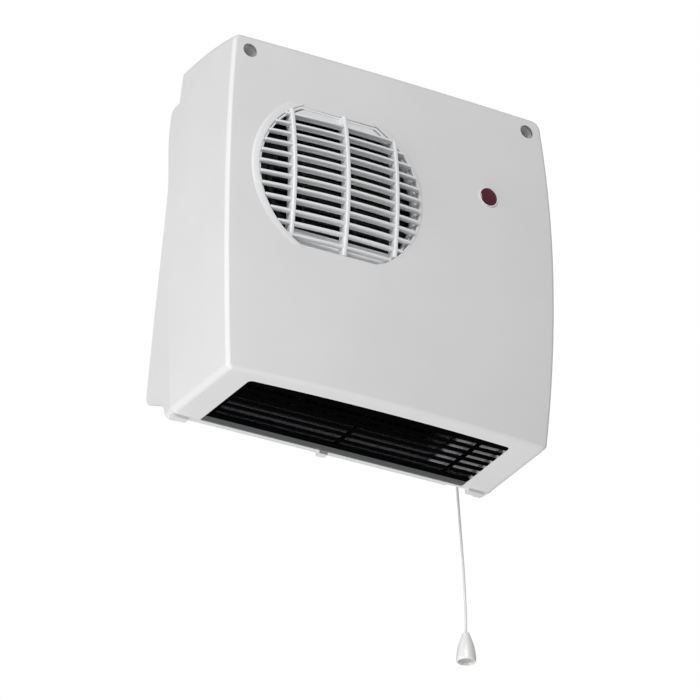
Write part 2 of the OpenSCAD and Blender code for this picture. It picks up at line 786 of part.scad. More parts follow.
// Radius of the scroll's wall at angle a, and a point outside it
function scroll_at(a) =
  scroll_r0 + (scroll_r1 - scroll_r0)*(a - tongue_a)/(scroll_end_a - tongue_a);
function on_scroll(a, out) =
  let(r = scroll_at(a) + out) [axis_x + r*cos(a), axis_z + r*sin(a)];

module scroll_2d() polygon(concat(
  [for (i = [0:28]) on_scroll(tongue_a + (scroll_end_a - tongue_a)*i/28, 0)],
  [[duct_x0, duct_z1], [duct_x0, duct_z0], [duct_x1, duct_z0], [duct_x1, duct_z1]]));

module scroll_inner_2d() {
  offset(delta = -housing_t) scroll_2d();
  translate([duct_x0 + housing_t, duct_z0 - 1]) square([duct_x1 - duct_x0 - 2*housing_t, 20]);
}

module fan_housing() color(inner_black) in_place() difference() {
  union() {
    slab_y(housing_y0, housing_y1) scroll_2d();
    for (e = ears) rod_y(e[0], e[1], ear_r, housing_y1 - ear_t, housing_y1);
    for (s = [-1, 1])
      rod_y(axis_x + s*motor_bolt_x, axis_z, 4, housing_y1 - eps, bracket_y0 - seat);
  }
  slab_y(housing_y0 - 1, housing_y1 - housing_t) scroll_inner_2d();
  for (e = ears) rod_y(e[0], e[1], house_screw_r + fit, housing_y1 - ear_t - 1, housing_y1 + 1);
  for (s = [-1, 1])
    rod_y(axis_x + s*motor_bolt_x, axis_z, motor_bolt_r + fit, housing_y1 - 0.5, bracket_y0 + 1);
  rod_y(axis_x, axis_z, 8, housing_y1 - 5, housing_y1 + 1);
}

module inlet_plate() color(inner_black) in_place() {
  difference() {
    slab_y(housing_y, housing_y + housing_t) scroll_2d();
    rod_y(axis_x, axis_z, mouth_r, housing_y - 1, housing_y + housing_t + 1);
  }
  turned(axis_x, axis_z) polygon([[mouth_r, housing_y], [mouth_r + 2, housing_y],
    [mouth_r + 2, housing_y + 1], [mouth_r + 1, wheel_y0 - 0.6], [mouth_r, wheel_y0 - 0.6]]);
}

module housing_screws() color(steel) in_place() for (e = ears)
  screw(e[0], e[1], housing_y1 - ear_t - small_head_t, housing_y1 + house_screw_l,
    house_screw_r, small_head_r, small_head_t);

// ---- Impeller and motor ------------------------------------------------------------------

// One forward-curved blade, as an outline about the fan's axis
module blade_2d() {
  sweep_a = 14;
  function side(off) = [for (i = [0:4])
    let(r = impeller_r - 1 - blade_in*(1 - i/4), a = sweep_a*pow(i/4, 2) - off/r*180/PI)
    [r*cos(a), r*sin(a)]];
  polygon(concat(side(0), reverse(side(blade_t))));
}

module impeller() color(inner_black) in_place() {
  difference() {
    union() {
      slab_y(wheel_y0 + 1, wheel_y1 - 1) translate([axis_x, axis_z])
        for (i = [0:blades - 1]) rotate(i*360/blades) blade_2d();
      rod_y(axis_x, axis_z, impeller_r, wheel_y1 - 1.6, wheel_y1);
      turned(axis_x, axis_z) polygon([[impeller_r - blade_in + 3, wheel_y0], [impeller_r, wheel_y0],
        [impeller_r, wheel_y0 + 3], [impeller_r - 1.4, wheel_y0 + 3], [impeller_r - 1.4, wheel_y0 + 1.6],
        [impeller_r - blade_in + 3, wheel_y0 + 1.6]]);
      rod_y(axis_x, axis_z, hub_r, wheel_y1 - hub_l + 2, wheel_y1 + 2);
    }
    rod_y(axis_x, axis_z, shaft_r, 0, body_d);
  }
}

module motor_shaft() color(steel) in_place()
  rod_y(axis_x, axis_z, shaft_r, wheel_y1 - hub_l, bracket_y1 + bracket_t + shaft_over);

module rotor() color(steel) in_place() difference() {
  rod_y(axis_x, axis_z, rotor_r, stack_y0 - 0.5, stack_y1 + 0.5);
  rod_y(axis_x, axis_z, shaft_r, 0, body_d);
  for (i = [0:11]) translate([axis_x, 0, axis_z]) rotate([0, i*30, 0])
    rod_y(rotor_r - 2, 0, 0.7, 0, stack_y0 + 1);
}

module stator_core() color([0.45, 0.46, 0.48]) in_place() translate([axis_x, 0, axis_z])
  slab_y(stack_y0, stack_y1) difference() {
    polygon(concat(arc(core_w - core_r, core_top - core_r, core_r, 0, 90, 4),
      arc(core_r - core_w, core_top - core_r, core_r, 90, 180, 4),
      [[-core_w, coil_leg_z0], [core_w, coil_leg_z0]]));
    circle(r = rotor_r + rotor_gap);
    translate([-window_x, coil_leg_z1])
      square([2*window_x, -coil_leg_z1 - rotor_r - rotor_gap - neck_t]);
    for (s = [-1, 1]) translate([s*motor_bolt_x, 0]) circle(r = motor_bolt_r + fit, $fn = 24);
    for (s = [-1, 1]) translate([s*(rotor_r + 3), s*5]) circle(r = 1.2, $fn = 16);
  }

module coil_window(grow) block(-window_x, window_x,
  stack_y0 - grow, stack_y1 + grow, coil_leg_z0 - grow, coil_leg_z1 + grow);

module motor_coil() color(copper) in_place() translate([axis_x, 0, axis_z]) difference() {
  block(-coil_half_x, coil_half_x, stack_y0 - coil_over, stack_y1 + coil_over,
    coil_leg_z0 - coil_out, coil_leg_z1 + coil_out);
  coil_window(seat);
}

module coil_bobbin() color([0.9, 0.88, 0.8]) in_place() translate([axis_x, 0, axis_z]) difference() {
  for (s = [-1, 1]) translate([s*(coil_half_x + seat + flange_t/2 - 0.2), 0, 0])
    block(-flange_t/2 + 0.2, flange_t/2, stack_y0 - coil_over - 1, stack_y1 + coil_over + 1,
      coil_leg_z0 - coil_out - 1, coil_leg_z1 + coil_out + 1);
  coil_window(seat);
}

module bracket_2d(y0, y1) slab_y(y0, y1) difference() {
  polygon([for (q = [[1, 1, 0], [-1, 1, 90], [-1, -1, 180], [1, -1, 270]])
    each arc(q[0]*(bracket_w - bracket_r), q[1]*(bracket_h - bracket_r), bracket_r, q[2], q[2] + 90, 4)]);
  for (s = [-1, 1]) translate([s*motor_bolt_x, 0]) circle(r = motor_bolt_r + fit, $fn = 24);
  circle(r = bearing_r + fit);
}

// A pressed bracket: a plate with the bearing's cup and two spacers that stand on the stack
module bracket(plate_y0, cup_y0, legs_y0, legs_y1) color(steel) in_place() translate([axis_x, 0, axis_z]) {
  bracket_2d(plate_y0, plate_y0 + bracket_t);
  difference() {
    rod_y(0, 0, bearing_r + 1.5, cup_y0, cup_y0 + bearing_l);
    rod_y(0, 0, bearing_r + fit, cup_y0 - 1, cup_y0 + bearing_l + 1);
  }
  for (s = [-1, 1]) difference() {
    rod_y(s*motor_bolt_x, 0, 3.5, legs_y0, legs_y1);
    rod_y(s*motor_bolt_x, 0, motor_bolt_r + fit, legs_y0 - 1, legs_y1 + 1);
  }
}

module front_bracket() bracket(bracket_y0, bracket_y0 - 2.5, bracket_y0 + bracket_t - eps, stack_y0 - seat);
module rear_bracket() bracket(bracket_y1, bracket_y1 - 2, stack_y1 + seat, bracket_y1 + eps);

module bearing(y0) color(brass) in_place() difference() {
  rod_y(axis_x, axis_z, bearing_r, y0, y0 + bearing_l);
  rod_y(axis_x, axis_z, shaft_r + fit, y0 - 1, y0 + bearing_l + 1);
}

module front_bearing() bearing(bracket_y0 - 2.5);
module rear_bearing() bearing(bracket_y1 - 2);

module motor_screws() color(steel) in_place() for (s = [-1, 1])
translate([axis_x + s*motor_bolt_x, 0, axis_z]) {
  rod_y(0, 0, motor_bolt_r, housing_y1, bracket_y1 + bracket_t + eps);
  difference() {
    rod_y(0, 0, small_head_r, bracket_y1 + bracket_t, bracket_y1 + bracket_t + small_head_t);
    translate([0, bracket_y1 + bracket_t + small_head_t - 0.2, 0])
      cube([small_head_r*2.2, 1.6, 0.8], center = true);
  }
}

// ---- Heating element ---------------------------------------------------------------------

function ribbon_z(k) = board_z + 1 + ribbon_step*(k + 0.5);

module element_frame() color(mica) in_place() difference() {
  first = duct_x0 + housing_t + 4;
  step = (duct_x1 - housing_t - 4 - board_t - first)/(board_count - 1);
  union() {
    for (y = [housing_y0 + 1, housing_y1 - housing_t - 1 - board_t])
      block(duct_x0 + housing_t + seat, duct_x1 - housing_t - seat, y, y + board_t,
        board_z, board_z + board_h);
    for (i = [0:board_count - 1]) block(first + step*i, first + step*i + board_t,
      housing_y0 + seat, housing_y1 - housing_t - seat, board_z, board_z + board_h);
  }
  for (k = [0:ribbon_count - 1]) block(duct_x0, duct_x1,
    ribbon_y0 - ribbon_pitch/2 - 1, ribbon_y1 + ribbon_pitch/2 + 1,
    ribbon_z(k) - ribbon_h/2 - seat, ribbon_z(k) + ribbon_h/2 + seat);
}

// One side of a serpentine ribbon whose legs are a pitch apart, off to the left of its middle
function ribbon_side(x0, legs, off) = concat(
  [[x0 - off, ribbon_y0]],
  [for (i = [0:legs - 2]) let(x = x0 + (i + 0.5)*ribbon_pitch, r = ribbon_pitch/2)
    each (i%2 == 0 ? arc(x, ribbon_y1, r + off, 180, 0, 4) : arc(x, ribbon_y0, r - off, 180, 360, 4))],
  [[x0 + (legs - 1)*ribbon_pitch + off*(legs%2 == 0 ? 1 : -1), legs%2 == 0 ? ribbon_y0 : ribbon_y1]]);

module element_ribbons() color(steel) in_place() {
  x0 = duct_x0 + housing_t + 3;
  legs = floor((duct_x1 - duct_x0 - 2*housing_t - 6)/ribbon_pitch) + 1;
  for (k = [0:ribbon_count - 1]) translate([0, 0, ribbon_z(k) - ribbon_h/2]) linear_extrude(ribbon_h)
    polygon(concat(ribbon_side(x0, legs, ribbon_t/2), reverse(ribbon_side(x0, legs, -ribbon_t/2))));
}

module thermal_cutout() color([0.25, 0.2, 0.2]) in_place() {
  x = duct_x1 - cutout_in;
  z = cutout_z;
  y1 = housing_y - seat;
  rod_y(x, z, 8, y1 - 6, y1 - 1 + eps);
  slab_y(y1 - 1, y1) hull() for (s = [-1, 1]) translate([x + s*9, z]) circle(r = 3.5, $fn = 24);
  for (s = [-1, 1]) block(x + s*4 - 2.4, x + s*4 + 2.4, y1 - 12, y1 - 6 + eps, z - 0.4, z + 0.4);
}

// ---- Electrical bay ----------------------------------------------------------------------

module terminal_block() color([0.92, 0.92, 0.88]) in_place() {
  y1 = wall_in_y - seat;
  difference() {
    block(term_x - term_w/2, term_x + term_w/2, y1 - term_d, y1, term_z - term_h/2, term_z + term_h/2);
    for (i = [-1, 0, 1]) {
      rod_z(term_x + i*10, y1 - term_d/2, 2, term_z - term_h, term_z + term_h);
      for (s = [-1, 1]) rod_y(term_x + i*10, term_z + s*3.5, 1.8, y1 - term_d - 1, y1 - term_d/2);
    }
    for (i = [-1, 1]) block(term_x + i*5 - 0.8, term_x + i*5 + 0.8,
      y1 - term_d - 1, y1 - term_d/2, term_z - term_h, term_z + term_h);
  }
}

module terminal_screws() color(brass) in_place() {
  y1 = wall_in_y - seat - term_d;
  for (i = [-1, 0, 1], s = [-1, 1]) difference() {
    rod_y(term_x + i*10, term_z + s*3.5, 1.75, y1 + 1, y1 + 6);
    translate([term_x + i*10, y1 + 1, term_z + s*3.5]) cube([3, 1, 0.7], center = true);
  }
}

module cable_clamp() color([0.92, 0.92, 0.88]) in_place() {
  y1 = wall_in_y - seat;
  difference() {
    block(term_x - term_w/2, term_x + term_w/2, y1 - 8, y1, clamp_z - 5, clamp_z + 5);
    rod_z(term_x, y1 - 1, 4, clamp_z - 6, clamp_z + 6);
    for (s = [-1, 1]) rod_y(term_x + s*11, clamp_z, 1.5 + fit, y1 - 9, y1 + 1);
  }
}

module clamp_screws() color(steel) in_place() for (s = [-1, 1])
  screw(term_x + s*11, clamp_z, wall_in_y - seat - 8 - small_head_t, wall_in_y - seat,
    1.5, small_head_r, small_head_t);

module cable_grommet() color(outlet_black) in_place() turned(term_x, grommet_z)
  polygon([[grommet_r, wall_in_y - 2], [grommet_r + 4, wall_in_y - 2], [grommet_r + 4, wall_in_y - fit],
    [grommet_r + 2.5 - fit, wall_in_y - fit], [grommet_r + 2.5 - fit, body_d], [grommet_r, body_d]]);

// ---- Pull switch -------------------------------------------------------------------------

// The body, and the foot that carries it on the recess's wall
module switch_body() color([0.9, 0.9, 0.9]) in_place() difference() {
  foot_w = 10;
  foot_z = switch_z + 8;
  union() {
    block(cord_x - switch_w/2, cord_x + switch_w/2, cord_y - switch_d/2, cord_y + switch_d/2,
      switch_z, switch_z + switch_h);
    block(cord_x - foot_w/2, cord_x + foot_w/2, cord_y + switch_d/2 - eps, wall_in_y - seat,
      foot_z, foot_z + 12);
  }
  block(cord_x - switch_w/2 + switch_t, cord_x + switch_w/2 - switch_t, cord_y - switch_d/2 + switch_t,
    cord_y + switch_d/2 - switch_t, floor_z, switch_z + switch_h + 1);
  rod_z(cord_x, cord_y, stem_r + 0.4, switch_z - 1, floor_z + 1);
}

// The cap, with the pin that the contact rotor turns on
module switch_cap() color([0.9, 0.9, 0.9]) in_place() {
  z0 = switch_z + switch_h + seat;
  block(cord_x - switch_w/2, cord_x + switch_w/2, cord_y - switch_d/2, cord_y + switch_d/2, z0, z0 + 1.6);
  rod_z(cord_x, cord_y, 1.5, rotor_z + 1, z0 + eps);
}

module switch_plunger() color([0.85, 0.3, 0.25]) in_place() {
  rod_z(cord_x, cord_y, stem_r, stem_z, head_z + eps);
  rod_z(cord_x, cord_y, head_r, head_z, head_z + head_t);
}

module contact_rotor() color(brass) in_place() difference() {
  union() {
    rod_z(cord_x, cord_y, 5.5, rotor_z, rotor_z + rotor_t);
    block(cord_x - 6.5, cord_x + 6.5, cord_y - 1, cord_y + 1, rotor_z + 1, rotor_z + 2.6);
  }
  rod_z(cord_x, cord_y, 1.5 + fit, rotor_z + 0.7, rotor_z + rotor_t + 1);
}

// A round bar swept along points
function unit(v) = v/norm(v);
function frame_ring(p, t, r, n) =
  let(u = unit(cross(t, [0, 1, 0.01])), v = cross(t, u))
  [for (i = [0:n - 1]) let(a = 360*i/n) p + r*(cos(a)*u + sin(a)*v)];
module sweep(path, r, n) {
  m = len(path);
  rings = [for (k = [0:m - 1]) let(t = unit(path[min(m - 1, k + 1)] - path[max(0, k - 1)]))
    frame_ring(path[k], t, r, n)];
  loft(path[0], rings, path[m - 1]);
}

module switch_spring() color(steel) in_place() {
  turns = 6;
  z0 = floor_z + spring_wire/2 + 0.1;
  z1 = head_z - spring_wire/2 - 0.1;
  sweep([for (i = [0:turns*12]) let(a = i*30, t = i/(turns*12))
    [cord_x + spring_r*cos(a), cord_y + spring_r*sin(a), z0 + (z1 - z0)*t]], spring_wire/2, 6);
}

module cord_bush() color(cord_white) in_place() translate([cord_x, cord_y, 0]) rotate_extrude()
  polygon([[bush_r, bush_z0], [bush_body_r + 1.5, bush_z0], [bush_body_r + 1.5, recess_low - fit],
    [bush_body_r, recess_low - fit], [bush_body_r, recess_low + wall_t + 1],
    [bush_r, recess_low + wall_t + 1]]);

module pull_cord() color(cord_white) in_place()
  translate([cord_x, cord_y, stem_z]) sweep(cord_route, cord_d/2, 8);

module cord_pull() color(cord_white) in_place()
  translate([cord_x, cord_y, stem_z]) translate(cord_end) rotate_extrude() polygon([
    [0, 0], [2.6, 0], [3.3, -0.8], [3.5, -2.5], [pull_r - 0.6, -pull_h + 5],
    [pull_r, -pull_h + 2], [pull_r, -pull_h], [pull_r - 1.2, -pull_h],
    [pull_r - 1.8, -pull_h + 5], [2.2, -6], [0, -6]]);

front_cover();
back_plate();
cover_screws();
intake_grille();
outlet_grille();
outlet_deflector();
neon_bezel();
neon_lens();
lamp_holder();
neon_lamp();
inner_guard();
inlet_plate();
fan_housing();
housing_screws();
impeller();
motor_shaft();
rotor();
stator_core();
coil_bobbin();
motor_coil();
front_bracket();
rear_bracket();
front_bearing();
rear_bearing();
motor_screws();
element_frame();
element_ribbons();
thermal_cutout();
terminal_block();
terminal_screws();
cable_clamp();
clamp_screws();
cable_grommet();
switch_body();
switch_cap();
switch_plunger();
switch_spring();
contact_rotor();
cord_bush();
pull_cord();
cord_pull();
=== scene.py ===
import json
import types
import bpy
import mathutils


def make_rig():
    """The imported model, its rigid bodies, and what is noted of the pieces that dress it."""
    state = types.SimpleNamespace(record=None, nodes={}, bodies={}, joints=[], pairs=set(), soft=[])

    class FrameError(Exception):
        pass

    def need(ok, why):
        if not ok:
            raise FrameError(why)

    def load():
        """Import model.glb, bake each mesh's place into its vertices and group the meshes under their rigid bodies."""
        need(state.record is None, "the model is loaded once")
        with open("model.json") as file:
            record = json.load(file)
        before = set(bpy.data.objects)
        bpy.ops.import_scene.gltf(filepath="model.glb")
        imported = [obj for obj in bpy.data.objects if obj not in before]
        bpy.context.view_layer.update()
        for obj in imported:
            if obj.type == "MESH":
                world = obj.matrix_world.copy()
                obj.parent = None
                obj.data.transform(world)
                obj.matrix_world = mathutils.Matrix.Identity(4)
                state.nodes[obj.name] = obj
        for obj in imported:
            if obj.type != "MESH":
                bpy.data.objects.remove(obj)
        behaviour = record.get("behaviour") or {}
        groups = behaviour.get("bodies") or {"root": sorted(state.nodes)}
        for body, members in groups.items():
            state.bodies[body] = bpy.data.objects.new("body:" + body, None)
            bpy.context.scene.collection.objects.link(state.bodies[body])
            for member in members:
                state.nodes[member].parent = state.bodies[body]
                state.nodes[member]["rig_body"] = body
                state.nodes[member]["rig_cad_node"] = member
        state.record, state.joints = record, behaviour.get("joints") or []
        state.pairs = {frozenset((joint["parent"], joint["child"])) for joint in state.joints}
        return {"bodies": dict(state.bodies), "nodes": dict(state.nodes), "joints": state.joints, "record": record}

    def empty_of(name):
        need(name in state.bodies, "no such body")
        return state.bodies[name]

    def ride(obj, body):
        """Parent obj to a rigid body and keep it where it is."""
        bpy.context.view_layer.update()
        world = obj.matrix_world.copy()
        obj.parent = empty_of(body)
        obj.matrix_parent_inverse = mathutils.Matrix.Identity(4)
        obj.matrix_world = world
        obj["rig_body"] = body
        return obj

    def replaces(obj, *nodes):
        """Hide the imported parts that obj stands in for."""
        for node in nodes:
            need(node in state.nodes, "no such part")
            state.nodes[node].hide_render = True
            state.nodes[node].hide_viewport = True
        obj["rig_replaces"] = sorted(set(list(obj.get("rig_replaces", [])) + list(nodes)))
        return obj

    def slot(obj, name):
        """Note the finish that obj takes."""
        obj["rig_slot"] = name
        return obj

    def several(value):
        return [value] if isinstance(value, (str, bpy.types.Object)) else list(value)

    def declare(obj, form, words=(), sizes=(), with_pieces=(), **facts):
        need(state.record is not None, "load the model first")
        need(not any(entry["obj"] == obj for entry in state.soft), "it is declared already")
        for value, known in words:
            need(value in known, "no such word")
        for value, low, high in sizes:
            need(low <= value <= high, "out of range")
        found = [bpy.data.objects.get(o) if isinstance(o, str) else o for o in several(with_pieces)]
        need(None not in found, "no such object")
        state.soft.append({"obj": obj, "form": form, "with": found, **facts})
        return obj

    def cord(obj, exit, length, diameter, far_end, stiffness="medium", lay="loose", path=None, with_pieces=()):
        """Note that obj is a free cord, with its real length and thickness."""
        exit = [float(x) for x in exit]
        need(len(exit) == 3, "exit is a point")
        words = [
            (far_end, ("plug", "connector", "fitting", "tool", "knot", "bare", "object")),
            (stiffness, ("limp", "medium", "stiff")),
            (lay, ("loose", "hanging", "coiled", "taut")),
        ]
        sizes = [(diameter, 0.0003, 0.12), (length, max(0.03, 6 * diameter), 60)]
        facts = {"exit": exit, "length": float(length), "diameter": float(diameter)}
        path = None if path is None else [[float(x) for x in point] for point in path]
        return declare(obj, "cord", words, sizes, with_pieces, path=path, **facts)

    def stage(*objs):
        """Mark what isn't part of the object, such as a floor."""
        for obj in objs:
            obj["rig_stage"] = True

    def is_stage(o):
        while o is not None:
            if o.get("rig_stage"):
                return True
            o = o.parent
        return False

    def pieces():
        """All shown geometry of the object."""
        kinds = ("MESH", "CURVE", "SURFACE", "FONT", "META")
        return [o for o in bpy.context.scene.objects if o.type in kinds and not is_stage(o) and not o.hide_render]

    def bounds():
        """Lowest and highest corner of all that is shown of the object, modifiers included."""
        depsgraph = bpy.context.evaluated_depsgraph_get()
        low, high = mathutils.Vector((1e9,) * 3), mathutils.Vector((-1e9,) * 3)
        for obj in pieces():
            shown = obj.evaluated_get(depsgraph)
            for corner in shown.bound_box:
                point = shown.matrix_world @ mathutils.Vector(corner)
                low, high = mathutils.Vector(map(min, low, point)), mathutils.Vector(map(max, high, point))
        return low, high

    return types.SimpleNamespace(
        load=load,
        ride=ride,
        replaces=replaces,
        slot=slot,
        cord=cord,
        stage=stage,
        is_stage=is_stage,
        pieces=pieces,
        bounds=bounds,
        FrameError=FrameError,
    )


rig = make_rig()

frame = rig.load()
cad_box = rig.bounds()

import json
import math

import bmesh
import bpy
from mathutils import Matrix, Vector

MM = 0.001
# Depth of the wall behind the face's side edges, and height of the wall mount above the datum
WALL_Y, MOUNT_Z = 112.0, 120.0

# ---- Camera ---------------------------------------------------------------------------------


def place_camera():
    """The photograph's camera, fitted to the casing's outline: a long lens, low on the left."""
    lens = bpy.data.cameras.new("camera")
    lens.sensor_width = 36.0
    lens.lens = 236.8
    lens.clip_end = 20.0
    camera = bpy.data.objects.new("camera", lens)
    camera.location = (-1.2913, -2.3134, -1.394)
    camera.rotation_euler = [math.radians(a) for a in (117.232, -0.148, -29.908)]
    bpy.context.scene.collection.objects.link(camera)
    bpy.context.scene.camera = camera


place_camera()

# ---- Bench tools ----------------------------------------------------------------------------


def clear_bench():
    """Leave edit mode with nothing selected."""
    if bpy.context.mode != "OBJECT":
        bpy.ops.object.mode_set(mode="OBJECT")
    bpy.ops.object.select_all(action="DESELECT")


def only(piece):
    """Make a piece the only one selected, and the active one."""
    clear_bench()
    bpy.context.view_layer.objects.active = piece
    piece.select_set(True)


def name_it(name):
    """Name a new primitive, with its place and size moved into its mesh."""
    piece = bpy.context.active_object
    piece.name = piece.data.name = name
    bpy.ops.object.transform_apply(location=True, rotation=True, scale=True)
    return piece


def block(name, x, y, z):
    """A block between pairs of places along X, Y and Z, in millimetres."""
    clear_bench()
    spans = (x, y, z)
    bpy.ops.mesh.primitive_cube_add(
        size=1,
        location=[(a + b) / 2 * MM for a, b in spans],
        scale=[(b - a) * MM for a, b in spans],
    )
    return name_it(name)


def rod(name, x, z, radius, y0, y1, sides):
    """A cylinder that lies along Y."""
    clear_bench()
    bpy.ops.mesh.primitive_cylinder_add(
        vertices=sides,
        radius=radius * MM,
        depth=(y1 - y0) * MM,
        location=(x * MM, (y0 + y1) / 2 * MM, z * MM),
        rotation=(math.pi / 2, 0, 0),
    )
    return name_it(name)


def outline(name, points):
    """A closed loop of points, in millimetres, started as a circle with as many corners."""
    clear_bench()
    bpy.ops.mesh.primitive_circle_add(vertices=len(points), radius=MM, fill_type="NOTHING")
    piece = name_it(name)
    for corner, point in zip(piece.data.vertices, points):
        corner.co = Vector(point) * MM
    return piece


def choose(piece, kind, rule):
    """Enter edit mode with the edges or faces selected that pass a rule on their corners."""
    only(piece)
    bpy.ops.object.mode_set(mode="EDIT")
    bpy.ops.mesh.select_mode(type=kind)
    bpy.ops.mesh.select_all(action="DESELECT")
    mesh = bmesh.from_edit_mesh(piece.data)
    for part in mesh.edges if kind == "EDGE" else mesh.faces:
        if rule([corner.co / MM for corner in part.verts], part):
            part.select_set(True)
    mesh.select_flush_mode()
    bmesh.update_edit_mesh(piece.data)


def choose_all(piece):
    """Enter edit mode with everything selected."""
    only(piece)
    bpy.ops.object.mode_set(mode="EDIT")
    bpy.ops.mesh.select_mode(type="VERT")
    bpy.ops.mesh.select_all(action="SELECT")


def leave():
    """Back from edit mode."""
    bpy.ops.object.mode_set(mode="OBJECT")


def slice_at(piece, axis, places, **how):
    """Bisect a whole piece at planes across an axis."""
    choose_all(piece)
    normal = [float(i == axis) for i in range(3)]
    for place in places:
        bpy.ops.mesh.select_all(action="SELECT")
        point = [place * MM * n for n in normal]
        bpy.ops.mesh.bisect(plane_co=point, plane_no=normal, **how)
    leave()


def trim(piece, axis, low=None, high=None):
    """Cut away what lies beyond one or two places along an axis, and close the cuts."""
    if high is not None:
        slice_at(piece, axis, [high], use_fill=True, clear_outer=True)
    if low is not None:
        slice_at(piece, axis, [low], use_fill=True, clear_inner=True)
    return piece


def modify(piece, kind, **settings):
    """Add a modifier and apply it at once."""
    only(piece)
    step = piece.modifiers.new(kind.title(), kind)
    for key, value in settings.items():
        setattr(step, key, value)
    bpy.ops.object.modifier_apply(modifier=step.name)
    return piece


def carve(piece, tool, how="DIFFERENCE"):
    """Cut a tool from a piece, or add it; the tool is used up."""
    modify(piece, "BOOLEAN", object=tool, operation=how, solver="MANIFOLD")
    bpy.data.objects.remove(tool)
    return piece


def soften(piece, width, segments=2, angle=35, rule=None):
    """Round the edges that are sharper than an angle and pass a rule on their ends."""
    least = math.radians(angle)

    def sharp(ends, edge):
        return edge.is_manifold and edge.calc_face_angle() > least and (rule is None or rule(ends))

    choose(piece, "EDGE", sharp)
    bpy.ops.mesh.bevel(
        offset=width * MM, segments=segments, affect="EDGES", clamp_overlap=True, miter_outer="ARC"
    )
    leave()
    return piece


def round_off(width, segments):
    """Round the chosen edges, and leave edit mode."""
    bpy.ops.mesh.bevel(offset=width * MM, segments=segments, affect="EDGES")
    leave()


def tidy(piece, gap=0.01):
    """Merge doubles and point the faces outwards."""
    choose_all(piece)
    bpy.ops.mesh.remove_doubles(threshold=gap * MM)
    bpy.ops.mesh.dissolve_degenerate(threshold=gap * MM)
    bpy.ops.mesh.normals_make_consistent(inside=False)
    leave()
    return piece


def draw_out(piece, x, z):
    """Fill an outline, and draw it out along X or Z into a solid."""
    choose_all(piece)
    bpy.ops.mesh.edge_face_add()
    bpy.ops.mesh.extrude_region_move(TRANSFORM_OT_translate={"value": (x * MM, 0, z * MM)})
    leave()
    return tidy(piece)


def smooth(piece, angle=32, even=False):
    """Shade smooth below an angle; even shading keeps large faces flat beside small roundings."""
    only(piece)
    bpy.ops.object.shade_smooth_by_angle(angle=math.radians(angle))
    if even:
        modify(piece, "WEIGHTED_NORMAL", keep_sharp=True, weight=60)
    return piece


def shape(piece, rule):
    """Move every corner by a rule on its place in millimetres."""
    for corner in piece.data.vertices:
        corner.co = Vector(rule(*(corner.co / MM))) * MM
    return piece


def join(pieces, name):
    """Make one piece of several."""
    only(pieces[0])
    for piece in pieces[1:]:
        piece.select_set(True)
    bpy.ops.object.join()
    pieces[0].name = pieces[0].data.name = name
    return pieces[0]


def spin(name, profile, centre, axis="Y", steps=64):
    """Turn a profile of radius and place along the axis into a round piece, poles closed."""
    a, b = centre
    if axis == "Y":
        points = [(a + r, y, b) for r, y in profile]
        middle, line = (a * MM, 0, b * MM), (0, 1, 0)
    else:
        points = [(a + r, b, z) for r, z in profile]
        middle, line = (a * MM, b * MM, 0), (0, 0, 1)
    piece = outline(name, points)
    close = 0.001

    def lies_on_axis(ends, _):
        return all(math.hypot(p.x - a, (p.z if axis == "Y" else p.y) - b) < close for p in ends)

    choose(piece, "EDGE", lies_on_axis)
    bpy.ops.mesh.delete(type="EDGE")
    bpy.ops.mesh.select_all(action="SELECT")
    bpy.ops.mesh.spin(steps=steps, angle=2 * math.pi, center=middle, axis=line)
    leave()
    return tidy(piece)


def copy_of(node, name, gap=0.004, flat=0.3):
    """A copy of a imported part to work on, with doubles merged and flat faces made whole."""
    piece = bpy.data.objects.new(name, frame["nodes"][node].data.copy())
    piece.data.name = name
    bpy.context.scene.collection.objects.link(piece)
    choose_all(piece)
    bpy.ops.mesh.remove_doubles(threshold=gap * MM)
    bpy.ops.mesh.dissolve_limited(angle_limit=math.radians(flat))
    leave()
    return smooth(piece)


def into_place(piece):
    """From the face frame to the wall mount's frame."""
    piece.data.transform(Matrix.Translation((0, -WALL_Y * MM, -MOUNT_Z * MM)))
    return piece


def hand_over(piece, body, slot, material, *nodes):
    """Give a finished piece its body, finish and the parts that it stands for."""
    piece.data.materials.clear()
    piece.data.materials.append(material)
    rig.ride(piece, body)
    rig.slot(piece, slot)
    if nodes:
        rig.replaces(piece, *nodes)


# ---- Finishes -------------------------------------------------------------------------------


def group(name, inputs, outputs):
    """A new node group with named sockets, and the nodes "in" and "out" at its ends."""
    made = bpy.data.node_groups.new(name, "ShaderNodeTree")
    for label, kind, value in inputs:
        socket = made.interface.new_socket(label, in_out="INPUT", socket_type=kind)
        if value is not None:
            socket.default_value = value
    for label, kind in outputs:
        made.interface.new_socket(label, in_out="OUTPUT", socket_type=kind)
    made.nodes.new("NodeGroupInput").name = "in"
    made.nodes.new("NodeGroupOutput").name = "out"
    return made


def add(tree, kind, links=None, **settings):
    """Add a node, set its fields, and wire or set its inputs."""
    node = tree.nodes.new(kind)
    for key, value in settings.items():
        setattr(node, key, value)
    for key, value in (links or {}).items():
        socket = node.inputs[key]
        if isinstance(value, bpy.types.NodeSocket):
            tree.links.new(value, socket)
        else:
            socket.default_value = value
    return node


VECTOR = ("Vector", "NodeSocketVector", None)


def noise(tree, vector, scale, detail, roughness=0.5):
    """A fractal noise of a vector, from 0 to 1."""
    links = {"Vector": vector, "Scale": scale, "Detail": detail, "Roughness": roughness}
    return add(tree, "ShaderNodeTexNoise", links).outputs[0]


def ramp(tree, value, low, high, first=0.0, last=1.0):
    """A value spread from low..high to first..last, and clamped there."""
    links = {0: value, 1: low, 2: high, 3: first, 4: last}
    return add(tree, "ShaderNodeMapRange", links).outputs[0]


def maths(tree, operation, *values):
    """The result of one operation on values or sockets."""
    return add(tree, "ShaderNodeMath", dict(enumerate(values)), operation=operation).outputs[0]


